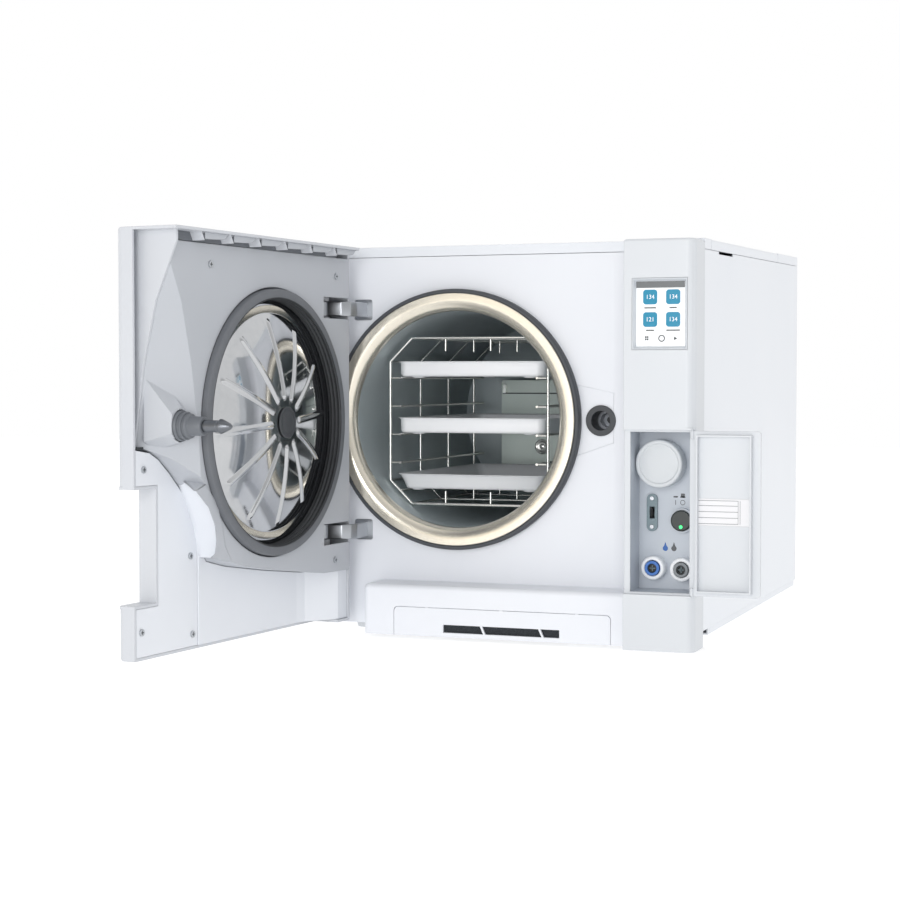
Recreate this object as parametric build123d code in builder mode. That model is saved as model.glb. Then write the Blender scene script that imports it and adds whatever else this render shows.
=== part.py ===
from build123d import *
from math import atan2, degrees, hypot, radians, sin
import os

os.makedirs("parts", exist_ok=True)

# A bench steam steriliser with its main door and its service door open, in millimetres.
# X runs to the right, Y to the back and Z up. The origin lies on the bench,
# under the middle of the box that holds the whole open machine.

# Cabinet
cab_left = -252.265
fascia_y = -65.826
side_margin = 23.5
back_room = 122.0
column_proud = 74.7
column_w = 78.0
column_depth = 46.4
base_proud = 47.0
base_left_inset = 76.5
sheet = 1.5
wall = 3.0
pan_t = 2.0
seam_gap = 0.3
lid_seam = 1.0

# Heights above the bench
foot_h = 14.0
base_bottom = 4.0
panel_bottom = 22.0
ledge_top = 62.0
fascia_bottom = 10.0
room_below = 38.0
room_above = 47.0
fascia_below_top = 9.0
roof_rise = 3.0
roof_slope = 0.0215

# Pressure chamber
bore_r = 125.0
vessel_t = 2.5
vessel_len = 385.0
dome_rise = 36.0
flange_w = 20.0
flange_face = 13.0
lip_r = 13.0
trim_w = 5.0
trim_proud = 12.0
bulkhead_y = 4.0
bulkhead_t = 4.0

# Main door, in its closed place
door_open = 95.6
hinge_from_left = 24.8
hinge_proud = 47.5
door_left_inset = 2.0
door_gap = 4.0
door_bottom = 16.0
door_skin = 3.0
door_rim_proud = 2.6
door_hinge_rim = 24.0
door_free_rim = 54.0
notch_w = 38.0
notch_bottom = 71.0
notch_top = 187.0
cover_face = 20.0
plate_face = 54.0
gasket_face = 13.5
gasket_in = 1.0
gasket_w = 12.5
lid_rim_face = 27.0
lid_crown = 21.0
hub_r = 17.0
rib_count = 12

# Hinges
arm_above_axis = 127.5
arm_below_axis = 130.0
arm_h = 17.0
arm_t = 5.0
hinge_pin_r = 4.0
hinge_fit = 0.06
arm_slot_gap = 3.5

# Lock
lock_gap = 5.1
lock_to_column = 46.0
lock_pin_r = 6.0
lock_hole_r = 11.0
lock_bezel_r = 17.4
boot_base_r = 15.5
boot_gap = 0.9

# Service bay and its door
bay_from_column = 6.5
bay_from_side = 6.0
bay_bottom = 67.0
bay_h = 173.0
bay_depth = 44.7
bay_wall = 1.7
bay_pivot_from_side = 2.5
bay_door_pivot_in = 1.7
bay_door_from_side = 5.0
bay_door_from_column = 1.5
bay_door_lap = 1.5
bay_door_t = 3.7

# Screen
screen_from_column = 9.0
screen_from_side = 8.0
screen_from_top = 42.0
screen_h = 77.0

# Rack and trays
rack_in = 25.4
rack_drop = 3.1
rack_chamfer = 27.5
rack_wire = 3.0
cross_wire = 2.7
weld_gap = 0.05
rack_front = 38.0
rack_len = 300.0
rail_in = 14.6
rail_pitch = 33.4
rail_count = 5
rail_first = 82.7
tray_side_gap = 6.1
tray_front_gap = 7.0
tray_len = 288.0
tray_h = 18.0
tray_t = 1.0

# Named places worked out from the sizes above
vessel_r = bore_r + vessel_t
flange_r = bore_r + flange_w
trim_r = flange_r + trim_w
gasket_r = flange_r - gasket_in
axis_x = cab_left + side_margin + trim_r
axis_z = ledge_top + room_below + trim_r
lock_x = axis_x + trim_r + lock_gap + lock_bezel_r
column_left = lock_x + lock_to_column
cab_right = column_left + column_w
column_top = axis_z + trim_r + room_above
fascia_top = column_top - fascia_below_top
roof_front = column_top + roof_rise
rear_y = fascia_y + vessel_len + dome_rise + back_room
column_y = fascia_y - column_proud
column_back = column_y + column_depth
base_y = fascia_y - base_proud
base_left = cab_left + base_left_inset
arm_levels = (axis_z - arm_below_axis, axis_z + arm_above_axis)
bulkhead_front = fascia_y + bulkhead_y
bulkhead_back = bulkhead_front + bulkhead_t
door_x0 = cab_left + door_left_inset
door_x1 = column_left - door_gap
hinge_x = cab_left + hinge_from_left
hinge_y = fascia_y - hinge_proud
door_axis = Axis((hinge_x, hinge_y, 0), (0, 0, 1))
pan_floor = foot_h + pan_t


def roof_z(y):
    """The height of the sloping roof's top at a depth."""
    return roof_front + roof_slope * (y - fascia_y)


def block(x0, x1, y0, y1, z0, z1, mode=Mode.ADD):
    """A box between two corners."""
    with Locations(((x0 + x1) / 2, (y0 + y1) / 2, (z0 + z1) / 2)):
        return Box(x1 - x0, y1 - y0, z1 - z0, mode=mode)


def drum(x, z, y0, y1, r, mode=Mode.ADD):
    """A round bar along Y between two depths."""
    with Locations(Location((x, (y0 + y1) / 2, z), (90, 0, 0))):
        return Cylinder(r, y1 - y0, mode=mode)


def spike(x, z, y0, y1, r0, r1, mode=Mode.ADD):
    """A tapered round bar along Y, of radius r0 at y0 and r1 at y1."""
    with Locations(Location((x, (y0 + y1) / 2, z), (-90, 0, 0))):
        return Cone(r0, r1, y1 - y0, mode=mode)


def post(x, y, z0, z1, r, mode=Mode.ADD):
    """A round bar along Z between two heights."""
    with Locations((x, y, (z0 + z1) / 2)):
        return Cylinder(r, z1 - z0, mode=mode)


def slab(plane, points, depth, mode=Mode.ADD):
    """A prism of an outline with straight sides, raised from its plane."""
    with BuildSketch(plane, mode=Mode.PRIVATE) as outline:
        with BuildLine():
            Polyline(*points, close=True)
        make_face()
    return extrude(outline.sketch, amount=depth, mode=mode)


def slab_x(points, x0, x1, mode=Mode.ADD):
    """A prism along X of an outline given as (y, z)."""
    return slab(Plane.YZ.offset(x0), points, x1 - x0, mode)


def slab_y(points, y0, y1, mode=Mode.ADD):
    """A prism along Y of an outline given as (x, z)."""
    return slab(Plane.XZ.offset(-y0), points, y0 - y1, mode)


def slab_z(points, z0, z1, mode=Mode.ADD):
    """A prism along Z of an outline given as (x, y)."""
    return slab(Plane.XY.offset(z0), points, z1 - z0, mode)


def rounded_y(x0, x1, z0, z1, y0, y1, r, mode=Mode.ADD):
    """A plate or hole along Y with round corners."""
    with BuildSketch(Plane.XZ.offset(-y0), mode=Mode.PRIVATE) as outline:
        with Locations(((x0 + x1) / 2, (z0 + z1) / 2)):
            RectangleRounded(x1 - x0, z1 - z0, r)
    return extrude(outline.sketch, amount=y0 - y1, mode=mode)


def swing(piece):
    """Turns a piece of the main door from its closed place to its open one."""
    piece.part = piece.part.rotate(door_axis, -door_open)


# Base

pan_edge = 2.0
pan_wall_top = 46.0
pan_front = fascia_y + wall + seam_gap
pan_gap = 0.5
pan_back = rear_y - sheet - pan_gap
with BuildPart() as base_pan:
    block(cab_left + pan_edge, cab_right - pan_edge, pan_front, pan_back, foot_h, pan_floor)
    for x0 in (cab_left + pan_edge, cab_right - pan_edge - sheet):
        block(x0, x0 + sheet, pan_front, pan_back, pan_floor, pan_wall_top)
    block(cab_left + pan_edge, cab_right - pan_edge, pan_back - sheet, pan_back, pan_floor, pan_wall_top)
base_pan.part.label = "base_pan"
export_step(base_pan.part, "parts/base_pan.step")

foot_r = 20.0
foot_taper = 3.0
foot_inset = 48.0
foot_spots = [
    (x, y)
    for x in (cab_left + foot_inset, cab_right - foot_inset)
    for y in (fascia_y + foot_inset, rear_y - foot_inset)
]
with BuildPart() as feet:
    for x, y in foot_spots:
        with Locations((x, y, foot_h / 2)):
            Cone(foot_r - foot_taper, foot_r, foot_h)
feet.part.label = "feet"
export_step(feet.part, "parts/feet.step")

# Proud base front with its snap-in panel and vent slot

base_right = column_left - seam_gap
base_round = 6.0
panel_left = base_left + 37.5
panel_w = 257.0
panel_right = panel_left + panel_w
panel_top = 37.0
panel_round = 5.0
panel_gap = 0.5
vent_left = panel_left + 60.4
vent_right = panel_left + 197.9
vent_bottom = 9.0
vent_top = 18.0
vent_bars = (panel_left + 105.7, panel_left + 174.6)
vent_bar_w = 2.4
vent_lean = 4.0
tab_spots = (panel_left + 40.4, panel_left + 129.5, panel_left + 218.2)
tab_w = 4.0

with BuildPart() as base_front:
    block(base_left, base_right, base_y, fascia_y, base_bottom, ledge_top)
    top_edge = base_front.edges().filter_by(Axis.X).group_by(Axis.Z)[-1].sort_by(Axis.Y)[0]
    side_edge = base_front.edges().filter_by(Axis.Z).group_by(Axis.Y)[0].sort_by(Axis.X)[0]
    end_edge = base_front.edges().filter_by(Axis.Y).group_by(Axis.Z)[-1].sort_by(Axis.X)[0]
    fillet([top_edge, side_edge, end_edge], base_round)
    block(base_left + wall, base_right - wall, base_y + wall, fascia_y, base_bottom, ledge_top - wall,
          Mode.SUBTRACT)
    rounded_y(panel_left, panel_right, base_bottom - 2 * panel_round, panel_top, base_y, base_y + wall,
              panel_round, Mode.SUBTRACT)
base_front.part.label = "base_front"
export_step(base_front.part, "parts/base_front.step")

with BuildPart() as lower_access_panel:
    rounded_y(panel_left + panel_gap, panel_right - panel_gap, base_bottom - 2 * panel_round,
              panel_top - panel_gap, base_y, base_y + wall, panel_round)
    block(panel_left, panel_right, base_y, base_y + wall, base_bottom - 3 * panel_round, base_bottom,
          Mode.SUBTRACT)
    for x in tab_spots:
        block(x - tab_w / 2, x + tab_w / 2, base_y, base_y + wall, panel_top - wall, panel_top)
    slot_x = [vent_left, *vent_bars, vent_right]
    for i in range(len(slot_x) - 1):
        low = slot_x[i] + (vent_bar_w / 2 if i else 0)
        high = slot_x[i + 1] - (vent_bar_w / 2 if i < len(vent_bars) else 0)
        lean_low = vent_lean if i else 0
        lean_high = vent_lean if i < len(vent_bars) else 0
        outline = [(low + lean_low, vent_bottom), (high + lean_high, vent_bottom), (high, vent_top),
                   (low, vent_top)]
        slab_y(outline, base_y, base_y + wall, Mode.SUBTRACT)
lower_access_panel.part.label = "lower_access_panel"
export_step(lower_access_panel.part, "parts/lower_access_panel.step")

# Side and rear panels

lip_h = 11.5
seam_line = 0.5
finger_front = fascia_y + 43.0
finger_back = fascia_y + 119.0
finger_h = 3.0


def panel_top_z(y):
    """The height of the side panels' top edge, under the roof's lip."""
    return roof_z(y) - lip_h - seam_line


side_front = fascia_y + wall + seam_gap
with BuildPart() as side_panel_left:
    slab_x([(side_front, panel_bottom), (rear_y, panel_bottom), (rear_y, panel_top_z(rear_y)),
            (side_front, panel_top_z(side_front))], cab_left, cab_left + sheet)
side_panel_left.part.label = "side_panel_left"
export_step(side_panel_left.part, "parts/side_panel_left.step")

right_front = column_back + seam_gap
with BuildPart() as side_panel_right:
    slab_x([(right_front, panel_bottom), (rear_y, panel_bottom), (rear_y, panel_top_z(rear_y)),
            (finger_back, panel_top_z(finger_back)), (finger_back, panel_top_z(finger_back) - finger_h),
            (finger_front, panel_top_z(finger_front) - finger_h), (finger_front, panel_top_z(finger_front)),
            (right_front, panel_top_z(right_front))], cab_right - sheet, cab_right)
side_panel_right.part.label = "side_panel_right"
export_step(side_panel_right.part, "parts/side_panel_right.step")

fan_x = axis_x
fan_z = 132.0
fan_size = 120.0
inlet_x = cab_right - 75.0
inlet_z = 75.0
inlet_w = 48.0
inlet_h = 30.0
slot_pitch = 10.0
slot_h = 4.0
slot_count = 11
with BuildPart() as rear_panel:
    block(cab_left + sheet + seam_gap, cab_right - sheet - seam_gap, rear_y - sheet, rear_y, panel_bottom,
          panel_top_z(rear_y - sheet))
    with BuildSketch(Plane.XZ.offset(-rear_y)):
        with Locations((fan_x, fan_z)):
            with GridLocations(1, slot_pitch, 1, slot_count):
                SlotOverall(fan_size - slot_pitch, slot_h)
    extrude(amount=sheet, mode=Mode.SUBTRACT)
    block(inlet_x - inlet_w / 2, inlet_x + inlet_w / 2, rear_y - sheet, rear_y, inlet_z - inlet_h / 2,
          inlet_z + inlet_h / 2, Mode.SUBTRACT)
rear_panel.part.label = "rear_panel"
export_step(rear_panel.part, "parts/rear_panel.step")

# Roof and its lid over the water tanks

lid_left = cab_right - 170.0
lid_side_gap = 1.2
lid_front = fascia_y + 4.0
lid_back = rear_y - 143.0
lid_axis_in = 3.4
lid_axis_down = 2.6
lid_peg_r = 1.5
lid_peg_fit = 0.05
lid_peg_len = 3.0
roof_angle = degrees(atan2(roof_slope, 1))
lid_axis_x = lid_left + lid_axis_in
lid_round = 1.0


def roof_prism(x0, x1, y0, y1, top_gap, depth, mode=Mode.ADD):
    """A prism that follows the sloping roof, from a gap under its top down to a depth."""
    return slab_x([(y0, roof_z(y0) - depth), (y1, roof_z(y1) - depth), (y1, roof_z(y1) - top_gap),
                   (y0, roof_z(y0) - top_gap)], x0, x1, mode)


def lid_peg(y, r, length, mode=Mode.ADD):
    """A peg or its hole on the lid's hinge line, centred at a depth."""
    with Locations(Location((lid_axis_x, y, roof_z(y) - lid_axis_down), (90 + roof_angle, 0, 0))):
        return Cylinder(r, length, mode=mode)


with BuildPart() as top_cover:
    roof_prism(cab_left, cab_right, fascia_y, rear_y, 0, lip_h)
    roof_prism(column_left + seam_gap, cab_right, right_front, fascia_y, 0, lip_h)
    outer_edges = top_cover.edges().group_by(Axis.X)[0].filter_by(lambda e: e.length > vessel_len / 2)
    fillet(outer_edges.sort_by(Axis.Z)[-1:], wall)
    roof_prism(cab_left + wall, cab_right - wall, fascia_y + wall, rear_y - wall, wall, 2 * lip_h,
               Mode.SUBTRACT)
    roof_prism(column_left + seam_gap + wall, cab_right - wall, right_front + wall, fascia_y + wall, wall,
               2 * lip_h, Mode.SUBTRACT)
    roof_prism(lid_left, cab_right, lid_front, lid_back, -lip_h, 2 * lip_h, Mode.SUBTRACT)
    roof_prism(lid_left - wall, cab_right - wall, lid_back, lid_back + wall, wall, lip_h)
    lid_peg(lid_front - lid_peg_len / 2 + seam_gap, lid_peg_r + lid_peg_fit, lid_peg_len, Mode.SUBTRACT)
    lid_peg(lid_back + lid_peg_len / 2 - seam_gap, lid_peg_r + lid_peg_fit, lid_peg_len + 4 * seam_gap,
            Mode.SUBTRACT)
top_cover.part.label = "top_cover"
export_step(top_cover.part, "parts/top_cover.step")

with BuildPart() as top_lid:
    roof_prism(lid_left + lid_side_gap, cab_right, lid_front + lid_seam, lid_back - lid_seam, 0, lip_h)
    left_top = top_lid.edges().group_by(Axis.X)[0].filter_by(lambda e: e.length > vessel_len / 2)
    fillet(left_top.sort_by(Axis.Z)[-1:], lid_round)
    right_top = top_lid.edges().group_by(Axis.X)[-1].filter_by(lambda e: e.length > vessel_len / 2)
    fillet(right_top.sort_by(Axis.Z)[-1:], wall)
    roof_prism(lid_left, cab_right - wall, lid_front, lid_back, wall, 2 * lip_h, Mode.SUBTRACT)
    lid_peg(lid_front + lid_seam, lid_peg_r, 2 * lid_peg_len)
    lid_peg(lid_back - lid_seam, lid_peg_r, 2 * lid_peg_len)
top_lid.part.label = "top_lid"
export_step(top_lid.part, "parts/top_lid.step")

# Front fascia, with its hollow curve into the column

fascia_right = column_left - seam_gap
cove_r = 31.0
pocket_left = cab_left + 46.0
pocket_right = cab_left + 68.8
pocket_h = 24.0
pocket_round = 3.0
wedge_depth = 0.8
wedge = [(lock_x - 46.0, axis_z + 44.0), (lock_x + 15.0, axis_z + 31.0), (lock_x + 15.0, axis_z - 25.0),
         (lock_x - 46.0, axis_z - 46.0)]
bezel_tube_r = 14.0
fascia_hole_r = flange_r + 1.0
with BuildPart() as front_fascia:
    block(cab_left, fascia_right, fascia_y, fascia_y + wall, fascia_bottom, fascia_top)
    block(fascia_right - cove_r, fascia_right, fascia_y - cove_r, fascia_y, ledge_top, fascia_top)
    post(fascia_right - cove_r, fascia_y - cove_r, ledge_top, fascia_top, cove_r, Mode.SUBTRACT)
    drum(lock_x, axis_z, fascia_y - cove_r, fascia_y, lock_bezel_r + seam_gap, Mode.SUBTRACT)
    slab_y(wedge, fascia_y, fascia_y + wedge_depth, Mode.SUBTRACT)
    drum(axis_x, axis_z, fascia_y - wall, fascia_y + 2 * wall, fascia_hole_r, Mode.SUBTRACT)
    drum(lock_x, axis_z, fascia_y, fascia_y + wall, bezel_tube_r + seam_gap, Mode.SUBTRACT)
    for z in arm_levels:
        rounded_y(pocket_left, pocket_right, z - pocket_h / 2, z + pocket_h / 2, fascia_y, fascia_y + wall,
                  pocket_round, Mode.SUBTRACT)
front_fascia.part.label = "front_fascia"
export_step(front_fascia.part, "parts/front_fascia.step")

bulkhead_top = fascia_top - 6.0
with BuildPart() as front_bulkhead:
    block(cab_left + 2 * pan_edge, column_left - 2 * pan_edge, bulkhead_front, bulkhead_back, pan_floor,
          bulkhead_top)
    drum(axis_x, axis_z, bulkhead_front, bulkhead_back, vessel_r + seam_gap, Mode.SUBTRACT)
    drum(lock_x, axis_z, bulkhead_front, bulkhead_back, bezel_tube_r + seam_gap, Mode.SUBTRACT)
front_bulkhead.part.label = "front_bulkhead"
export_step(front_bulkhead.part, "parts/front_bulkhead.step")

# Control column with its screen

corner_r = 10.0
edge_r = 3.0
bay_x0 = column_left + bay_from_column
bay_x1 = cab_right - bay_from_side
bay_top = bay_bottom + bay_h
recess_gap = 0.8
bay_door_x0 = column_left + bay_door_from_column
bay_door_x1 = cab_right - bay_door_from_side
bay_door_z0 = bay_bottom - bay_door_lap
bay_door_z1 = bay_top + bay_door_lap
bay_pivot_x = cab_right - bay_pivot_from_side
bay_pivot_y = column_y + bay_door_pivot_in
knuckle_r = 2.2
knuckle_h = 8.0
peg_r = 1.2
recess_depth = 5.5
recess_floor = column_y + recess_depth
frame_back = recess_floor + wall
screen_x0 = column_left + screen_from_column
screen_x1 = cab_right - screen_from_side
screen_w = screen_x1 - screen_x0
screen_top = column_top - screen_from_top
screen_bottom = screen_top - screen_h
with BuildPart() as control_column:
    block(column_left, cab_right, column_y, column_back, base_bottom, column_top)
    front_corner = control_column.edges().filter_by(Axis.Z).group_by(Axis.Y)[0].sort_by(Axis.X)[-1]
    fillet(front_corner, corner_r)
    top_edges = control_column.edges().group_by(Axis.Z)[-1]
    fillet(top_edges.filter_by(lambda e: e.center().Y < column_back - edge_r), edge_r)
    block(column_left + wall, cab_right - wall, column_y + wall, column_back, base_bottom + wall,
          column_top - wall, Mode.SUBTRACT)
    block(screen_x0, screen_x1, column_y, column_y + wall, screen_bottom, screen_top, Mode.SUBTRACT)
    block(column_left, cab_right - wall, column_y, frame_back, bay_door_z0 - wall, bay_door_z1 + wall)
    block(column_left, cab_right, column_y, recess_floor, bay_door_z0 - recess_gap, bay_door_z1 + recess_gap,
          Mode.SUBTRACT)
    block(bay_x0, bay_x1, column_y, frame_back, bay_bottom, bay_top, Mode.SUBTRACT)
    post(bay_pivot_x, bay_pivot_y, bay_door_z0 - wall, bay_door_z1 + wall, peg_r + hinge_fit, Mode.SUBTRACT)
control_column.part.label = "control_column"
export_step(control_column.part, "parts/control_column.step")

bezel_t = 5.0
bezel_taper = 3.8
glass_t = 4.0
with BuildPart() as screen_bezel:
    block(screen_x0 + seam_gap, screen_x1 - seam_gap, column_y, column_y + bezel_t,
          screen_bottom + seam_gap, screen_top - seam_gap)
    with BuildSketch(Plane.XZ.offset(-column_y)):
        with Locations(((screen_x0 + screen_x1) / 2, (screen_bottom + screen_top) / 2)):
            Rectangle(screen_w - 2 * sheet, screen_h - 2 * sheet)
    with BuildSketch(Plane.XZ.offset(-(column_y + bezel_t))):
        with Locations(((screen_x0 + screen_x1) / 2, (screen_bottom + screen_top) / 2)):
            Rectangle(screen_w - 2 * bezel_taper, screen_h - 2 * bezel_taper)
    loft(mode=Mode.SUBTRACT)
screen_bezel.part.label = "screen_bezel"
export_step(screen_bezel.part, "parts/screen_bezel.step")

with BuildPart() as touch_screen:
    block(screen_x0 + sheet, screen_x1 - sheet, column_y + bezel_t, column_y + bezel_t + glass_t,
          screen_bottom + sheet, screen_top - sheet)
touch_screen.part.label = "touch_screen"
export_step(touch_screen.part, "parts/touch_screen.step")

# Service bay with its fittings

bay_back = column_y + bay_depth
filter_x = bay_x0 + 27.0
filter_z = bay_top - 35.0
socket_r = 22.0
socket_base_r = 25.0
socket_base_t = 3.0
socket_front = bay_back - 17.0
cap_r = 26.0
cap_front = bay_back - 22.0
cap_disc_r = 21.0
cap_disc_in = 2.0
cap_fit = 0.06
usb_x = bay_x0 + 15.0
usb_z = bay_bottom + 83.5
usb_w = 12.0
usb_h = 41.0
usb_round = 5.9
usb_t = 2.5
usb_screw_off = 15.6
usb_screw_r = 2.2
usb_shank_r = 1.0
port_w = 5.6
port_h = 13.0
button_x = bay_x1 - 17.0
button_z = bay_bottom + 75.5
button_r = 11.5
button_ring_r = 13.7
button_ring_t = 5.0
button_proud = 8.5
button_back = 5.0
couplings = ((bay_x0 + 18.5, bay_bottom + 23.6), (bay_x1 - 15.0, bay_bottom + 22.7))
coupling_r = 13.0
coupling_t = 3.0
collar_len = 14.5
collar_gap = 0.7
sleeve_r = 8.0
core_r = 5.0
core_len = 15.0
sleeve_back = 8.0
sleeve_front = 16.5
with BuildPart() as service_bay:
    block(bay_x0 - bay_wall, bay_x1 + bay_wall, frame_back, bay_back + bay_wall, bay_bottom - bay_wall,
          bay_top + bay_wall)
    block(bay_x0, bay_x1, frame_back, bay_back, bay_bottom, bay_top, Mode.SUBTRACT)
    drum(button_x, button_z, bay_back - button_ring_t, bay_back, button_ring_r)
    drum(button_x, button_z, bay_back - button_ring_t, bay_back + bay_wall, button_r + hinge_fit,
         Mode.SUBTRACT)
    for z in (usb_z - usb_screw_off, usb_z + usb_screw_off):
        drum(usb_x, z, bay_back, bay_back + bay_wall, usb_shank_r + seam_gap, Mode.SUBTRACT)
    block(usb_x - port_w / 2, usb_x + port_w / 2, bay_back, bay_back + bay_wall, usb_z - port_h / 2,
          usb_z + port_h / 2, Mode.SUBTRACT)
service_bay.part.label = "service_bay"
export_step(service_bay.part, "parts/service_bay.step")

with BuildPart() as filter_socket:
    drum(filter_x, filter_z, bay_back - socket_base_t, bay_back, socket_base_r)
    drum(filter_x, filter_z, socket_front, bay_back, socket_r)
    drum(filter_x, filter_z, socket_front, bay_back - socket_base_t, socket_r - wall, Mode.SUBTRACT)
filter_socket.part.label = "filter_socket"
export_step(filter_socket.part, "parts/filter_socket.step")

with BuildPart() as filter_cap:
    drum(filter_x, filter_z, cap_front, bay_back - socket_base_t - seam_gap, cap_r)
    fillet(filter_cap.edges().group_by(Axis.Y)[0], sheet)
    drum(filter_x, filter_z, cap_front, cap_front + cap_disc_in, cap_disc_r, Mode.SUBTRACT)
    drum(filter_x, filter_z, cap_front + wall + sheet, bay_back, socket_r + cap_fit, Mode.SUBTRACT)
filter_cap.part.label = "filter_cap"
export_step(filter_cap.part, "parts/filter_cap.step")

with BuildPart() as usb_plate:
    rounded_y(usb_x - usb_w / 2, usb_x + usb_w / 2, usb_z - usb_h / 2, usb_z + usb_h / 2, bay_back - usb_t,
              bay_back, usb_round)
    block(usb_x - port_w / 2, usb_x + port_w / 2, bay_back - usb_t, bay_back, usb_z - port_h / 2,
          usb_z + port_h / 2, Mode.SUBTRACT)
    for z in (usb_z - usb_screw_off, usb_z + usb_screw_off):
        drum(usb_x, z, bay_back - usb_t, bay_back, usb_shank_r + seam_gap, Mode.SUBTRACT)
usb_plate.part.label = "usb_plate"
export_step(usb_plate.part, "parts/usb_plate.step")

with BuildPart() as usb_screws:
    for z in (usb_z - usb_screw_off, usb_z + usb_screw_off):
        drum(usb_x, z, bay_back - usb_t - sheet, bay_back - usb_t, usb_screw_r)
        drum(usb_x, z, bay_back - usb_t, bay_back + wall, usb_shank_r)
usb_screws.part.label = "usb_screws"
export_step(usb_screws.part, "parts/usb_screws.step")

with BuildPart() as power_button:
    drum(button_x, button_z, bay_back - button_proud, bay_back + button_back, button_r)
    fillet(power_button.edges().group_by(Axis.Y)[0], sheet)
power_button.part.label = "power_button"
export_step(power_button.part, "parts/power_button.step")

with BuildPart() as coupling_bodies:
    for x, z in couplings:
        drum(x, z, bay_back - collar_len, bay_back, coupling_r)
        drum(x, z, bay_back - collar_len, bay_back - coupling_t, sleeve_r + collar_gap, Mode.SUBTRACT)
        drum(x, z, bay_back - core_len, bay_back - coupling_t, core_r)
        drum(x, z, bay_back - core_len, bay_back - coupling_t, core_r - sheet, Mode.SUBTRACT)
coupling_bodies.part.label = "coupling_bodies"
export_step(coupling_bodies.part, "parts/coupling_bodies.step")


def sleeve(x, z):
    """A sliding ring over a coupling's core, with a grip groove."""
    drum(x, z, bay_back - sleeve_front, bay_back - sleeve_back, sleeve_r)
    mid = bay_back - (sleeve_front + sleeve_back) / 2
    with BuildPart(mode=Mode.PRIVATE) as groove:
        drum(x, z, mid - sheet, mid + sheet, sleeve_r)
        drum(x, z, mid - sheet, mid + sheet, sleeve_r - sheet / 2, Mode.SUBTRACT)
    add(groove.part, mode=Mode.SUBTRACT)
    drum(x, z, bay_back - sleeve_front, bay_back - sleeve_back, core_r + hinge_fit, Mode.SUBTRACT)


with BuildPart() as clean_sleeve:
    sleeve(*couplings[0])
clean_sleeve.part.label = "clean_sleeve"
export_step(clean_sleeve.part, "parts/clean_sleeve.step")

with BuildPart() as used_sleeve:
    sleeve(*couplings[1])
used_sleeve.part.label = "used_sleeve"
export_step(used_sleeve.part, "parts/used_sleeve.step")

# Service door, drawn shut and then turned open

rim_h = 7.0
rim_t = 2.0
rim_in_free = 9.0
rim_in_hinge = 3.0
rim_in_ends = 4.0
service_open = 180.0
service_axis = Axis((bay_pivot_x, bay_pivot_y, 0), (0, 0, 1))
door_in = column_y + bay_door_t
with BuildPart() as service_door:
    block(bay_door_x0, bay_door_x1, column_y, door_in, bay_door_z0, bay_door_z1)
    fillet(service_door.edges().filter_by(Axis.Y).group_by(Axis.X)[0], wall)
    rim_x0 = bay_door_x0 + rim_in_free
    rim_x1 = bay_door_x1 - rim_in_hinge
    rim_z0 = bay_door_z0 + rim_in_ends
    rim_z1 = bay_door_z1 - rim_in_ends
    block(rim_x0, rim_x1, door_in, door_in + rim_h, rim_z0, rim_z1)
    block(rim_x0 + rim_t, rim_x1 - rim_t, door_in, door_in + rim_h, rim_z0 + rim_t, rim_z1 - rim_t,
          Mode.SUBTRACT)
    for z0, z1 in ((bay_door_z0, bay_door_z0 + knuckle_h), (bay_door_z1 - knuckle_h, bay_door_z1)):
        post(bay_pivot_x, bay_pivot_y, z0, z1, knuckle_r)
        block(bay_door_x1 - knuckle_r, bay_pivot_x, bay_pivot_y - peg_r, bay_pivot_y + peg_r, z0, z1)
    post(bay_pivot_x, bay_pivot_y, bay_door_z0 - recess_gap - peg_r, bay_door_z0, peg_r)
    post(bay_pivot_x, bay_pivot_y, bay_door_z1, bay_door_z1 + recess_gap + peg_r, peg_r)
service_door.part = service_door.part.rotate(service_axis, service_open)
service_door.part.label = "service_door"
export_step(service_door.part, "parts/service_door.step")

# Pressure chamber

flange_back = bulkhead_front
flange_front = fascia_y - flange_face
lip_mid = lip_r * sin(radians(45))
with BuildPart() as chamber_flange:
    with BuildSketch(Plane((axis_x, 0, axis_z), x_dir=(1, 0, 0), z_dir=(0, 0, 1))):
        with BuildLine():
            ThreePointArc((bore_r + lip_r, flange_front), (bore_r + lip_r - lip_mid, fascia_y - lip_mid),
                          (bore_r, fascia_y))
            Polyline((bore_r, fascia_y), (bore_r, flange_back), (flange_r, flange_back),
                     (flange_r, flange_front), (bore_r + lip_r, flange_front))
        make_face()
    revolve(axis=Axis((axis_x, 0, axis_z), (0, 1, 0)))
chamber_flange.part.label = "chamber_flange"
export_step(chamber_flange.part, "parts/chamber_flange.step")

with BuildPart() as chamber_trim_ring:
    drum(axis_x, axis_z, fascia_y - trim_proud, fascia_y, trim_r)
    fillet(chamber_trim_ring.edges().group_by(Axis.Y)[0], sheet)
    drum(axis_x, axis_z, fascia_y - trim_proud, fascia_y, flange_r + seam_gap, Mode.SUBTRACT)
chamber_trim_ring.part.label = "chamber_trim_ring"
export_step(chamber_trim_ring.part, "parts/chamber_trim_ring.step")

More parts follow.
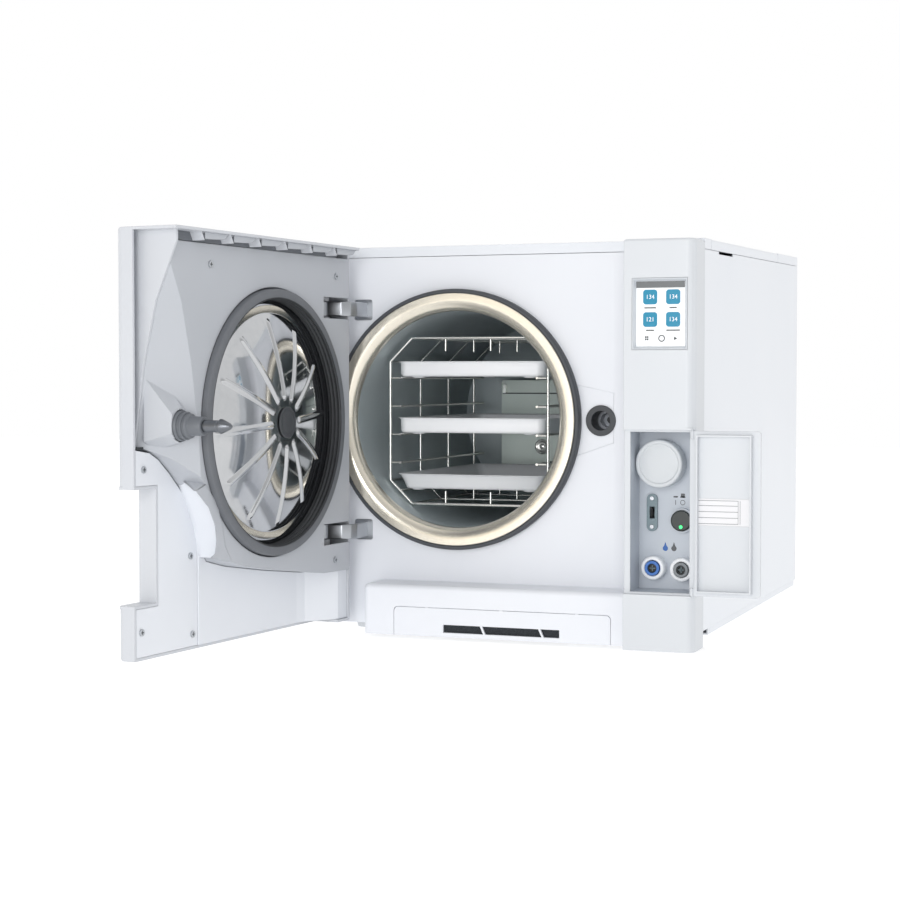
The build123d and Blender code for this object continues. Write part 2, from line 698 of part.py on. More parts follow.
dome_y = fascia_y + vessel_len
dome_r = (vessel_r ** 2 + dome_rise ** 2) / (2 * dome_rise)
dome_centre = dome_y + dome_rise - dome_r
with BuildPart() as chamber_vessel:
    with BuildPart(mode=Mode.PRIVATE) as head:
        with Locations((axis_x, dome_centre, axis_z)):
            Sphere(dome_r)
        drum(axis_x, axis_z, flange_back, dome_centre + dome_r, vessel_r, Mode.INTERSECT)
    with BuildPart(mode=Mode.PRIVATE) as room:
        with Locations((axis_x, dome_centre, axis_z)):
            Sphere(dome_r - vessel_t)
        drum(axis_x, axis_z, flange_back, dome_centre + dome_r, bore_r, Mode.INTERSECT)
    drum(axis_x, axis_z, flange_back, dome_y, vessel_r)
    add(head.part)
    drum(axis_x, axis_z, flange_back, dome_y - vessel_t, bore_r, Mode.SUBTRACT)
    add(room.part, mode=Mode.SUBTRACT)
chamber_vessel.part.label = "chamber_vessel"
export_step(chamber_vessel.part, "parts/chamber_vessel.step")

lagging_r = 148.0
lagging_back = dome_y - 6.0
with BuildPart() as insulation:
    drum(axis_x, axis_z, bulkhead_back + seam_gap, lagging_back, lagging_r)
    drum(axis_x, axis_z, bulkhead_back, lagging_back, vessel_r + seam_gap, Mode.SUBTRACT)
insulation.part.label = "insulation"
export_step(insulation.part, "parts/insulation.step")

saddle_half = 95.0
saddle_t = 3.0
saddle_foot = 22.0
saddle_spots = (fascia_y + 45.0, dome_y - 40.0)
with BuildPart() as chamber_cradle:
    for y in saddle_spots:
        block(axis_x - saddle_half, axis_x + saddle_half, y, y + saddle_t, pan_floor, axis_z - saddle_half)
        block(axis_x - saddle_half, axis_x + saddle_half, y, y + saddle_foot, pan_floor,
              pan_floor + saddle_t)
    drum(axis_x, axis_z, fascia_y, rear_y, lagging_r + seam_gap, Mode.SUBTRACT)
chamber_cradle.part.label = "chamber_cradle"
export_step(chamber_cradle.part, "parts/chamber_cradle.step")

# Fittings inside the chamber

baffle_left = axis_x - 71.5
baffle_right = axis_x + 71.5
baffle_bottom = axis_z - 70.0
baffle_top = axis_z + 45.0
baffle_y = dome_y - 11.0
baffle_t = 1.5
baffle_hole_r = 9.0
sensor_x = axis_x - 13.8
sensor_z = axis_z - 44.0
stay_r = 4.0
stays = ((axis_x - 45.0, axis_z - 5.0), (axis_x + 45.0, axis_z - 5.0))
with BuildPart() as baffle_plate:
    rounded_y(baffle_left, baffle_right, baffle_bottom, baffle_top, baffle_y, baffle_y + baffle_t, wall)
    drum(sensor_x, sensor_z, baffle_y, baffle_y + baffle_t, baffle_hole_r, Mode.SUBTRACT)
    for x, z in stays:
        drum(x, z, baffle_y, baffle_y + 2 * dome_rise, stay_r)
    with Locations((axis_x, dome_centre, axis_z)):
        Sphere(dome_r - vessel_t - seam_gap, mode=Mode.INTERSECT)
baffle_plate.part.label = "baffle_plate"
export_step(baffle_plate.part, "parts/baffle_plate.step")

strainer_x = axis_x - 18.0
strainer_y = dome_y - 33.0
strainer_r = 10.0
strainer_h = 9.0
strainer_rings = 3
strainer_first = 2.1
with BuildPart() as drain_strainer:
    strainer_top = axis_z - bore_r + strainer_h
    post(strainer_x, strainer_y, axis_z - bore_r - wall, strainer_top, strainer_r)
    for i in range(strainer_rings):
        z = strainer_top - strainer_first - wall * i
        with BuildPart(mode=Mode.PRIVATE) as groove:
            post(strainer_x, strainer_y, z - sheet / 2, z + sheet / 2, strainer_r + sheet)
            post(strainer_x, strainer_y, z - sheet / 2, z + sheet / 2, strainer_r - sheet, Mode.SUBTRACT)
        add(groove.part, mode=Mode.SUBTRACT)
    drum(axis_x, axis_z, strainer_y - 2 * strainer_r, strainer_y + 2 * strainer_r, bore_r - seam_gap,
         Mode.INTERSECT)
drain_strainer.part.label = "drain_strainer"
export_step(drain_strainer.part, "parts/drain_strainer.step")

# Wire rack and its three trays


def wire(start, end, r):
    """A straight round wire between two points."""
    a = Vector(*start)
    b = Vector(*end)
    with Locations(Plane(origin=(a + b) / 2, z_dir=b - a)):
        Cylinder(r, (b - a).length)


wire_r = rack_wire / 2
cross_r = cross_wire / 2
rack_z = axis_z - rack_drop
rack_y0 = fascia_y + rack_front + wire_r
rack_y1 = rack_y0 + rack_len - rack_wire
ring_half = bore_r - rack_in - wire_r
ring_cut = ring_half - rack_chamfer
mitre = 22.5
rack_corners = [
    (ring_half, -ring_cut), (ring_half, ring_cut), (ring_cut, ring_half), (-ring_cut, ring_half),
    (-ring_half, ring_cut), (-ring_half, -ring_cut), (-ring_cut, -ring_half), (ring_cut, -ring_half),
]
rail_x = bore_r - rack_in - rail_in
rail_levels = [rack_z - rail_first + rail_pitch * i for i in range(rail_count)]
hook_x = 28.0
hook_h = 15.5

# Every wire is a solid of its own, so that the room between the wires stays open to touch

with BuildPart() as rack:
    for y in (rack_y0, rack_y1):
        with BuildLine() as loop:
            Polyline(*[(axis_x + x, y, rack_z + z) for x, z in rack_corners], close=True)
        with BuildSketch(Plane(origin=(axis_x + ring_half, y, rack_z), z_dir=(0, 0, 1))):
            Circle(wire_r)
        sweep(path=loop.line, transition=Transition.RIGHT)
    for x, z in rack_corners:
        lean = (mitre if abs(x) > abs(z) else 90 - mitre) * (1 if x * z > 0 else -1)
        with Locations(Location((axis_x + x, (rack_y0 + rack_y1) / 2, rack_z + z), (0, -lean, 0))):
            Box(4 * rack_wire, 2 * rack_len, weld_gap, mode=Mode.SUBTRACT)
    inner_y0 = rack_y0 + wire_r + weld_gap
    inner_y1 = rack_y1 - wire_r - weld_gap
    for x, z in rack_corners:
        wire((axis_x + x, inner_y0, rack_z + z), (axis_x + x, inner_y1, rack_z + z), cross_r)
    for z in rail_levels:
        for side in (-1, 1):
            x = axis_x + side * rail_x
            if abs(z - rack_z) > ring_cut:
                wire((x, inner_y0, z), (x, inner_y1, z), wire_r)
            else:
                wire((x, rack_y0 - wire_r, z), (x, rack_y1 + wire_r, z), wire_r)
                near = rail_x + wire_r + weld_gap
                far = ring_half - wire_r - weld_gap
                for y in (rack_y0, rack_y1):
                    wire((axis_x + side * near, y, z), (axis_x + side * far, y, z), cross_r)
    for x in (axis_x - hook_x, axis_x + hook_x):
        for end in (-1, 1):
            root = rack_z + end * (ring_half - wire_r - weld_gap)
            wire((x, rack_y0, root), (x, rack_y0, rack_z + end * (ring_half - hook_h)), cross_r)
rack.part.label = "rack"
export_step(rack.part, "parts/rack.step")

tray_rest_gap = 0.3
tray_lean = 6.5
tray_rim = 2.0
tray_y0 = fascia_y + rack_front + tray_front_gap
tray_half = bore_r - rack_in - tray_side_gap


def tray(level):
    """A shallow tray with leaning walls, resting over a pair of rails."""
    z0 = rail_levels[level] + wire_r + tray_rest_gap
    z1 = z0 + tray_h
    half = tray_half - tray_rim
    foot = half - tray_lean
    x = axis_x
    outer = [(x - foot, z0), (x + foot, z0), (x + half, z1), (x - half, z1)]
    slab_y(outer, tray_y0, tray_y0 + tray_len)
    block(x - tray_half, x + tray_half, tray_y0 - tray_rim, tray_y0 + tray_len + tray_rim, z1 - tray_t, z1)
    inner = [(x - foot + tray_t, z0 + tray_t), (x + foot - tray_t, z0 + tray_t), (x + half - tray_t, z1),
             (x - half + tray_t, z1)]
    slab_y(inner, tray_y0 + tray_t, tray_y0 + tray_len - tray_t, Mode.SUBTRACT)


with BuildPart() as tray_upper:
    tray(4)
tray_upper.part.label = "tray_upper"
export_step(tray_upper.part, "parts/tray_upper.step")

with BuildPart() as tray_middle:
    tray(2)
tray_middle.part.label = "tray_middle"
export_step(tray_middle.part, "parts/tray_middle.step")

with BuildPart() as tray_lower:
    tray(0)
tray_lower.part.label = "tray_lower"
export_step(tray_lower.part, "parts/tray_lower.step")

# Lock in the fascia, its driven nut and motor

bezel_proud = 1.5
bezel_back = fascia_y + 24.0
nut_front = fascia_y + 26.0
nut_back = fascia_y + 44.0
nut_r = 18.0
nut_bore_r = 8.0
motor_front = fascia_y + 46.0
motor_back = fascia_y + 112.0
motor_r = 19.0
motor_plate = 48.0
leg_r = 3.5
leg_off = 20.0
shaft_r = 4.0
nut_notches = 24
with BuildPart() as lock_bezel:
    drum(lock_x, axis_z, fascia_y - bezel_proud, fascia_y, lock_bezel_r)
    fillet(lock_bezel.edges().group_by(Axis.Y)[0], bezel_proud / 2)
    drum(lock_x, axis_z, fascia_y, bezel_back, bezel_tube_r)
    drum(lock_x, axis_z, fascia_y - bezel_proud, bezel_back, lock_hole_r, Mode.SUBTRACT)
lock_bezel.part.label = "lock_bezel"
export_step(lock_bezel.part, "parts/lock_bezel.step")

with BuildPart() as lock_nut:
    drum(lock_x, axis_z, nut_front, nut_back, nut_r)
    drum(lock_x, axis_z, nut_front, nut_back - wall, nut_bore_r, Mode.SUBTRACT)
    drum(lock_x, axis_z, nut_back - wall, nut_back, shaft_r + hinge_fit, Mode.SUBTRACT)
    with BuildSketch(Plane.XZ.offset(-nut_front)):
        with Locations((lock_x, axis_z)):
            with PolarLocations(nut_r, nut_notches):
                Circle(sheet / 2)
    extrude(amount=nut_front - nut_back, mode=Mode.SUBTRACT)
lock_nut.part.label = "lock_nut"
export_step(lock_nut.part, "parts/lock_nut.step")

with BuildPart() as lock_motor:
    drum(lock_x, axis_z, motor_front, motor_back, motor_r)
    half = motor_plate / 2
    rounded_y(lock_x - half, lock_x + half, axis_z - half, axis_z + half, motor_front, motor_front + wall,
              wall)
    for dx in (-leg_off, leg_off):
        for dz in (-leg_off, leg_off):
            drum(lock_x + dx, axis_z + dz, bulkhead_back, motor_front, leg_r)
    drum(lock_x, axis_z, nut_back - wall, motor_front, shaft_r)
lock_motor.part.label = "lock_motor"
export_step(lock_motor.part, "parts/lock_motor.step")

# Water, steam and air parts in the cabinet

boiler_x = cab_left + 96.0
boiler_y = fascia_y + 200.0
boiler_r = 46.0
boiler_h = 62.0
boiler_foot_r = 54.0
fitting_r = 6.0
fitting_h = 12.0
with BuildPart() as steam_generator:
    post(boiler_x, boiler_y, pan_floor, pan_floor + wall, boiler_foot_r)
    post(boiler_x, boiler_y, pan_floor, pan_floor + boiler_h, boiler_r)
    fillet(steam_generator.edges().group_by(Axis.Z)[-1], 2 * wall)
    for dx in (-boiler_r / 2, boiler_r / 3):
        post(boiler_x + dx, boiler_y, pan_floor, pan_floor + boiler_h + fitting_h, fitting_r)
steam_generator.part.label = "steam_generator"
export_step(steam_generator.part, "parts/steam_generator.step")

pump_x = cab_left + 232.0
pump_y = fascia_y + 200.0
pump_w = 110.0
pump_d = 74.0
pump_base = 8.0
pump_r = 27.0
pump_sink = 2.0
pump_z = pan_floor + pump_base + pump_r - pump_sink
head_w = 34.0
head_h = 66.0
with BuildPart() as vacuum_pump:
    block(pump_x - pump_w / 2, pump_x + pump_w / 2, pump_y - pump_d / 2, pump_y + pump_d / 2, pan_floor,
          pan_floor + pump_base)
    with Locations(Location((pump_x, pump_y, pump_z), (0, 90, 0))):
        Cylinder(pump_r, pump_w - head_w)
    for side in (-1, 1):
        x = pump_x + side * (pump_w - head_w) / 2
        block(x - head_w / 2, x + head_w / 2, pump_y - pump_r, pump_y + pump_r, pan_floor,
              pan_floor + head_h)
vacuum_pump.part.label = "vacuum_pump"
export_step(vacuum_pump.part, "parts/vacuum_pump.step")

fan_t = 25.0
fan_rim = 2.0
fan_tip_gap = 2.5
fan_bore_r = fan_size / 2 - fan_rim
fan_hub_r = 19.0
fan_tip_r = fan_bore_r - fan_tip_gap
fan_post_r = 3.0
fan_y0 = rear_y - sheet - fan_t
spider_w = 6.0
spider_t = 3.0
blade_count = 7
blade_t = 2.0
blade_angle = 50.0
with BuildPart() as fan_frame:
    half = fan_size / 2
    rounded_y(fan_x - half, fan_x + half, fan_z - half, fan_z + half, fan_y0, rear_y - sheet, 2 * wall)
    drum(fan_x, fan_z, fan_y0, rear_y - sheet, fan_bore_r, Mode.SUBTRACT)
    block(fan_x - fan_bore_r - sheet, fan_x + fan_bore_r + sheet, fan_y0, fan_y0 + spider_t,
          fan_z - spider_w / 2, fan_z + spider_w / 2)
    block(fan_x - spider_w / 2, fan_x + spider_w / 2, fan_y0, fan_y0 + spider_t, fan_z - fan_bore_r - sheet,
          fan_z + fan_bore_r + sheet)
    drum(fan_x, fan_z, fan_y0, fan_y0 + spider_t, fan_hub_r)
    drum(fan_x, fan_z, fan_y0, rear_y - sheet - 2 * spider_t, fan_post_r)
fan_frame.part.label = "fan_frame"
export_step(fan_frame.part, "parts/fan_frame.step")

with BuildPart() as fan_rotor:
    rotor_y0 = fan_y0 + spider_t + seam_gap
    rotor_y1 = rear_y - sheet - spider_t
    drum(fan_x, fan_z, rotor_y0, rotor_y1, fan_hub_r)
    with Locations(Location((fan_x, (rotor_y0 + rotor_y1) / 2, fan_z), (90, 0, 0))):
        with PolarLocations(fan_hub_r + (fan_tip_r - fan_hub_r) / 2 - sheet, blade_count):
            with Locations(Location((0, 0, 0), (blade_angle, 0, 0))):
                Box(fan_tip_r - fan_hub_r, fan_t - 2 * spider_t, blade_t)
    drum(fan_x, fan_z, rotor_y0, rotor_y1 - spider_t, fan_post_r + hinge_fit, Mode.SUBTRACT)
fan_rotor.part.label = "fan_rotor"
export_step(fan_rotor.part, "parts/fan_rotor.step")

cooler_t = 44.0
cooler_fins = 15
fin_t = 1.0
tube_r = 6.0
tube_rows = (-36.0, -12.0, 12.0, 36.0)
end_t = 3.0
with BuildPart() as condenser:
    half = fan_size / 2
    cooler_y1 = fan_y0 - seam_gap
    cooler_y0 = cooler_y1 - cooler_t
    for x in (fan_x - half, fan_x + half - end_t):
        block(x, x + end_t, cooler_y0, cooler_y1, pan_floor, fan_z + half)
    pitch = (fan_size - end_t) / (cooler_fins + 1)
    for i in range(cooler_fins):
        x = fan_x - half + end_t / 2 + pitch * (i + 1)
        block(x - fin_t / 2, x + fin_t / 2, cooler_y0, cooler_y1, fan_z - half, fan_z + half)
    for dz in tube_rows:
        with Locations(Location((fan_x, (cooler_y0 + cooler_y1) / 2, fan_z + dz), (0, 90, 0))):
            Cylinder(tube_r, fan_size + 4 * end_t)
condenser.part.label = "condenser"
export_step(condenser.part, "parts/condenser.step")

tank_left = cab_right - 140.0
tank_right = cab_right - 8.0
tank_top = roof_front - 25.0
tank_t = 2.5
tank_gap = 3.0
clean_len = 137.0
clean_y0 = fascia_y + 125.0
clean_y1 = clean_y0 + clean_len
used_y0 = clean_y1 + tank_gap
used_y1 = rear_y - 151.0


def tank(y0, y1):
    """An open water tank that stands on the base."""
    block(tank_left, tank_right, y0, y1, pan_floor, tank_top)
    block(tank_left + tank_t, tank_right - tank_t, y0 + tank_t, y1 - tank_t, pan_floor + tank_t, tank_top,
          Mode.SUBTRACT)


with BuildPart() as clean_tank:
    tank(clean_y0, clean_y1)
clean_tank.part.label = "clean_tank"
export_step(clean_tank.part, "parts/clean_tank.step")

with BuildPart() as used_tank:
    tank(used_y0, used_y1)
used_tank.part.label = "used_tank"
export_step(used_tank.part, "parts/used_tank.step")

board_y0 = rear_y - 128.0
board_y1 = rear_y - 23.0
board_z0 = 150.0
board_z1 = 330.0
board_off = 7.0
board_t = 1.6
board_in = 8.0
chip_t = 9.0
chips = ((40.0, 30.0), (90.0, 22.0), (135.0, 40.0))
with BuildPart() as main_board:
    x1 = cab_right - sheet - board_off
    block(x1 - board_t, x1, board_y0, board_y1, board_z0, board_z1)
    for y in (board_y0 + board_in, board_y1 - board_in):
        for z in (board_z0 + board_in, board_z1 - board_in):
            with Locations(Location((x1 + board_off / 2, y, z), (0, 90, 0))):
                Cylinder(wall, board_off)
    for up, h in chips:
        block(x1 - board_t - chip_t, x1 - board_t, board_y0 + 3 * board_in, board_y1 - 3 * board_in,
              board_z0 + up - h / 2, board_z0 + up + h / 2)
main_board.part.label = "main_board"
export_step(main_board.part, "parts/main_board.step")

inlet_depth = 24.0
inlet_rim = 3.0
inlet_proud = 2.0
inlet_gap = 0.3
pin_w = 2.0
pin_h = 4.0
pin_pitch = 14.0
with BuildPart() as mains_inlet:
    w = inlet_w / 2 - inlet_gap
    h = inlet_h / 2 - inlet_gap
    block(inlet_x - w, inlet_x + w, rear_y - inlet_depth, rear_y, inlet_z - h, inlet_z + h)
    rounded_y(inlet_x - w - inlet_rim, inlet_x + w + inlet_rim, inlet_z - h - inlet_rim,
              inlet_z + h + inlet_rim, rear_y, rear_y + inlet_proud, inlet_rim)
    block(inlet_x - w / 2, inlet_x + w / 2, rear_y - inlet_depth + wall, rear_y + inlet_proud,
          inlet_z - h / 2, inlet_z + h / 2, Mode.SUBTRACT)
    for dx in (-pin_pitch / 2, 0, pin_pitch / 2):
        block(inlet_x + dx - pin_w / 2, inlet_x + dx + pin_w / 2, rear_y - inlet_depth, rear_y - wall,
              inlet_z - pin_h / 2, inlet_z + pin_h / 2)
mains_inlet.part.label = "mains_inlet"
export_step(mains_inlet.part, "parts/mains_inlet.step")

# Hinge arms of the main door, fixed to the cabinet

arm_path = [(59.5, 2.0), (59.5, -30.0), (56.0, -38.0), (48.0, -43.5), (24.8, -47.5)]
eye_r = 8.0
pad_t = 3.0


def arm_outline():
    """Both edges of the bent band, from its path and thickness."""
    left = []
    right = []
    for i, (x, y) in enumerate(arm_path):
        x0, y0 = arm_path[max(i - 1, 0)]
        x1, y1 = arm_path[min(i + 1, len(arm_path) - 1)]
        run = hypot(x1 - x0, y1 - y0)
        nx = (y1 - y0) / run * arm_t / 2
        ny = (x0 - x1) / run * arm_t / 2
        left.append((cab_left + x + nx, fascia_y + y + ny))
        right.append((cab_left + x - nx, fascia_y + y - ny))
    return left + right[::-1]


with BuildPart() as hinge_arms:
    for z in arm_levels:
        slab_z(arm_outline(), z - arm_h / 2, z + arm_h / 2)
        post(hinge_x, hinge_y, z - arm_h / 2, z + arm_h / 2, eye_r)
        post(hinge_x, hinge_y, z - arm_h / 2, z + arm_h / 2, hinge_pin_r + hinge_fit, Mode.SUBTRACT)
        rounded_y(pocket_left + seam_gap, pocket_right - seam_gap, z - pocket_h / 2 + seam_gap,
                  z + pocket_h / 2 - seam_gap, bulkhead_front - pad_t, bulkhead_front, pocket_round)
hinge_arms.part.label = "hinge_arms"
export_step(hinge_arms.part, "parts/hinge_arms.step")

# Main door, drawn shut; every piece is turned open at its end

scoop_edge = [
    (-10.7, column_top - 14.0), (-35.8, axis_z + 125.0), (-50.6, axis_z + 61.7), (-59.4, axis_z),
    (-62.0, axis_z - 21.0), (-65.0, axis_z - 60.0),
]
scoop_x = door_x1 - 16.0
scoop_lean = -0.85
scoop_run = 110.0
door_round = 8.0
skin_in = column_y + door_skin
door_bottom_in = door_bottom + door_skin
top_in = column_top - door_skin
hinge_rim_y = fascia_y - door_hinge_rim
free_rim_y = fascia_y - door_free_rim
top_rim_y = fascia_y - door_rim_proud
rim_slope_w = 14.0
notch_left = door_x1 - notch_w
lug_gap = 0.5
lug_t = 6.0
lug_r = 9.0
fin_first = 67.0
fin_pitch = 54.0
fin_count = 6
fin_spots = [cab_left + fin_first + fin_pitch * i for i in range(fin_count)]
louvre_t = 2.0
fin_front = fascia_y - 6.0
fin_h = 8.5
fin_lean = 5.0
pivot_slots = [(z - arm_h / 2 - arm_slot_gap, z + arm_h / 2 + arm_slot_gap) for z in arm_levels]
with BuildPart() as door_shell:
    block(door_x0, door_x1, column_y, top_rim_y, door_bottom, column_top)
    outer = door_shell.edges().group_by(Axis.Y)[0]
    fillet(outer, door_round)
    block(door_x0 + door_skin, door_x1 - door_skin, skin_in, top_rim_y, door_bottom_in, top_in,
          Mode.SUBTRACT)
    block(door_x0, door_x1, hinge_rim_y, top_rim_y, door_bottom, top_in, Mode.SUBTRACT)
    block(door_x1 - door_skin, door_x1, free_rim_y, top_rim_y, door_bottom, top_in, Mode.SUBTRACT)
    block(door_x0 + 2 * rim_slope_w, door_x1, free_rim_y, top_rim_y, door_bottom, door_bottom_in,
          Mode.SUBTRACT)
    slab_z([(door_x0, hinge_rim_y), (door_x0 + rim_slope_w, top_rim_y), (door_x0, top_rim_y)], top_in,
           column_top, Mode.SUBTRACT)
    block(notch_left - door_skin, door_x1, skin_in, free_rim_y, notch_bottom - door_skin,
          notch_top + door_skin)
    block(notch_left, door_x1, column_y, free_rim_y, notch_bottom, notch_top, Mode.SUBTRACT)
    rim = [(fascia_y + y, z) for y, z in scoop_edge[:-1]]
    slab_x([(skin_in, scoop_edge[-2][1])] + rim[::-1] + [(rim[0][0], top_in), (skin_in, top_in)],
           scoop_x + seam_gap, scoop_x + seam_gap + door_skin)
    for x in fin_spots:
        slab_y([(x, top_in), (x + louvre_t, top_in), (x + louvre_t - fin_lean, top_in - fin_h),
                (x - fin_lean, top_in - fin_h)], skin_in, fin_front)
    for z in arm_levels:
        for side in (-1, 1):
            z0 = z + side * (arm_h / 2 + lug_gap)
            z1 = z0 + side * lug_t
            post(hinge_x, hinge_y, min(z0, z1), max(z0, z1), lug_r)
            block(hinge_x - lug_r, hinge_x + lug_r, skin_in, hinge_y, min(z0, z1), max(z0, z1))
        post(hinge_x, hinge_y, z - arm_h, z + arm_h, hinge_pin_r, Mode.SUBTRACT)
swing(door_shell)
door_shell.part.label = "door_shell"
export_step(door_shell.part, "parts/door_shell.step")

with BuildPart() as hinge_pins:
    for z in arm_levels:
        reach = arm_h / 2 + lug_gap + lug_t
        post(hinge_x, hinge_y, z - reach, z + reach, hinge_pin_r)
        post(hinge_x, hinge_y, z + reach, z + reach + sheet, hinge_pin_r + sheet)
swing(hinge_pins)
hinge_pins.part.label = "hinge_pins"
export_step(hinge_pins.part, "parts/hinge_pins.step")

# Screws that hold the inner panels

screw_r = 3.6
screw_h = 1.6
screw_shank_r = 1.6
screw_len = 12.0
cover_screws = (
    (door_x1 - 87.0, column_top - 33.4), (door_x0 + 38.0, column_top - 33.5), (door_x0 + 41.5, 89.7),
)
plate_screws = (
    (door_x1 - 16.0, 206.5), (door_x1 - 99.0, 113.6), (door_x1 - 11.4, 44.2), (door_x1 - 102.3, 31.8),
)

# Grey inner cover with its opening for the lid and its scooped corner

cover_t = 2.5
cover_y = fascia_y - cover_face
cover_hole_r = gasket_r + 1.5
cover_left = door_x0 + 7.0
cover_top = column_top - 12.2
cover_edge = [
    (-237.0, 86.6), (-161.0, 97.8), (-126.0, 106.0), (-113.0, 124.0), (-107.0, 148.0), (-98.0, 168.0),
    (-83.0, 184.0), (-63.0, 202.0), (-43.0, 217.0), (-27.5, 224.5), (-16.0, 229.0),
]
cover_points = [
    (cover_left, 76.0), (cover_left + 60.5, 76.8), *[(door_x1 + x, z) for x, z in cover_edge],
    (scoop_x, column_top - 14.0), (scoop_x - 14.0, column_top - 12.6), (cover_left, cover_top),
]
slot_right = cover_left + 59.0
house_front = 26.0
house_base = [(-46.0, 40.0), (0.0, 60.0), (25.0, 50.0), (25.0, -16.0), (6.0, -24.0), (-34.0, -28.0)]
house_face = [(-16.0, 12.0), (0.0, 19.0), (16.0, 12.0), (17.0, -8.0), (4.0, -17.0), (-13.0, -14.0)]


def scoop_cut(inset):
    """Cuts off everything in front of the scooped face, moved back by an inset."""
    rim = [(fascia_y + y - inset, z) for y, z in scoop_edge]
    top = [(fascia_y, z) for z in (scoop_edge[-1][1] - cover_t, column_top)]
    end = [(rim[-1][0], scoop_edge[-1][1] - cover_t)]
    first = [(rim[0][0] + cover_t, column_top)]
    with BuildSketch(Plane.YZ.offset(scoop_x), mode=Mode.PRIVATE) as shape:
        with BuildLine():
            Polyline(*(first + rim + end + top), close=True)
        make_face()
    for side in (-1, 1):
        extrude(shape.sketch, amount=scoop_run, dir=Vector(side, side * scoop_lean, 0), mode=Mode.SUBTRACT)


def at_lock(points):
    """Points given from the lock's axis, in world x and z."""
    return [(lock_x + x, axis_z + z) for x, z in points]


with BuildPart() as door_inner_cover:
    with BuildSketch(Plane.XZ.offset(-skin_in), mode=Mode.PRIVATE) as cover_plan:
        with BuildLine():
            Polyline(*cover_points, close=True)
        make_face()
    with BuildPart(mode=Mode.PRIVATE) as hollow:
        with BuildSketch(Plane.XZ.offset(-skin_in)):
            add(cover_plan.sketch)
            offset(amount=-cover_t, kind=Kind.INTERSECTION)
        extrude(amount=skin_in - cover_y + cover_t)
        scoop_cut(cover_t)
    with BuildPart(mode=Mode.PRIVATE) as skin:
        with BuildSketch(Plane.XZ.offset(-skin_in)):
            add(cover_plan.sketch)
        extrude(amount=skin_in - cover_y)
        scoop_cut(0)
    add(skin.part)
    add(hollow.part, mode=Mode.SUBTRACT)
    with BuildSketch(Plane.XZ.offset(-(fascia_y - plate_face))):
        with BuildLine():
            Polyline(*at_lock(house_base), close=True)
        make_face()
    with BuildSketch(Plane.XZ.offset(-(fascia_y - house_front))):
        with BuildLine():
            Polyline(*at_lock(house_face), close=True)
        make_face()
    loft()
    drum(lock_x, axis_z, skin_in, cover_y, boot_base_r + boot_gap, Mode.SUBTRACT)
    drum(axis_x, axis_z, skin_in, cover_y, cover_hole_r, Mode.SUBTRACT)
    for x, z in cover_screws:
        drum(x, z, skin_in, cover_y, screw_shank_r + seam_gap, Mode.SUBTRACT)
    for z0, z1 in pivot_slots:
        block(door_x0, slot_right, skin_in, cover_y, z0, z1, Mode.SUBTRACT)
        block(door_x0, hinge_x + lug_r + lug_gap, skin_in, hinge_y + lug_r + lug_gap, z0 - lug_t, z1 + lug_t,
              Mode.SUBTRACT)
swing(door_inner_cover)
door_inner_cover.part.label = "door_inner_cover"
export_step(door_inner_cover.part, "parts/door_inner_cover.step")

# White inner panels below the cover

plate_y = fascia_y - plate_face
plate_in = door_skin + seam_gap
plate_bottom = door_bottom + plate_in
plate_left = door_x1 - 111.7
plate_right = door_x1 - plate_in
plate_notch = notch_left - plate_in
plate_edge = [
    (-27.0, 222.6), (-42.0, 215.6), (-62.0, 200.2), (-81.5, 182.8), (-96.5, 166.6), (-105.6, 147.4),
    (-111.6, 123.4),
]
plate_points = [
    (plate_left, plate_bottom), (plate_right, plate_bottom), (plate_right, notch_bottom - plate_in),
    (plate_notch, notch_bottom - plate_in), (plate_notch, notch_top + plate_in),
    (plate_right, notch_top + plate_in), (plate_right, 226.0), *[(door_x1 + x, z) for x, z in plate_edge],
]
with BuildPart() as door_lower_plate:
    slab_y(plate_points, plate_y - cover_t, plate_y)
    for x, z in plate_screws:
        drum(x, z, plate_y - cover_t, plate_y, screw_shank_r + seam_gap, Mode.SUBTRACT)
swing(door_lower_plate)
door_lower_plate.part.label = "door_lower_plate"
export_step(door_lower_plate.part, "parts/door_lower_plate.step")

liner_left = door_x0 + plate_in
liner_right = door_x1 - 112.1
liner_edge = [(-112.1, 123.4), (-125.6, 105.4), (-160.7, 97.2), (-236.8, 86.0)]
liner_points = [
    (liner_left, plate_bottom), (liner_right, plate_bottom), *[(door_x1 + x, z) for x, z in liner_edge],
    (cover_left + 60.6, 76.3), (liner_left, 75.4),
]
liner_section = [
    (liner_left, -26.0), (door_x0 + 24.0, -26.0), (door_x0 + 60.0, -49.5), (door_x0 + 74.0, -52.0),
    (liner_right, -52.0),
]
with BuildPart() as door_liner:
    edge = [(x, fascia_y + y) for x, y in liner_section]
    back = [(x, y - cover_t) for x, y in edge]
    slab_z(edge + back[::-1], door_bottom_in, column_top)
    slab_y(liner_points, column_y, fascia_y, Mode.INTERSECT)
swing(door_liner)
door_liner.part.label = "door_liner"
export_step(door_liner.part, "parts/door_liner.step")

# Lid of the chamber, its gasket and its carrier

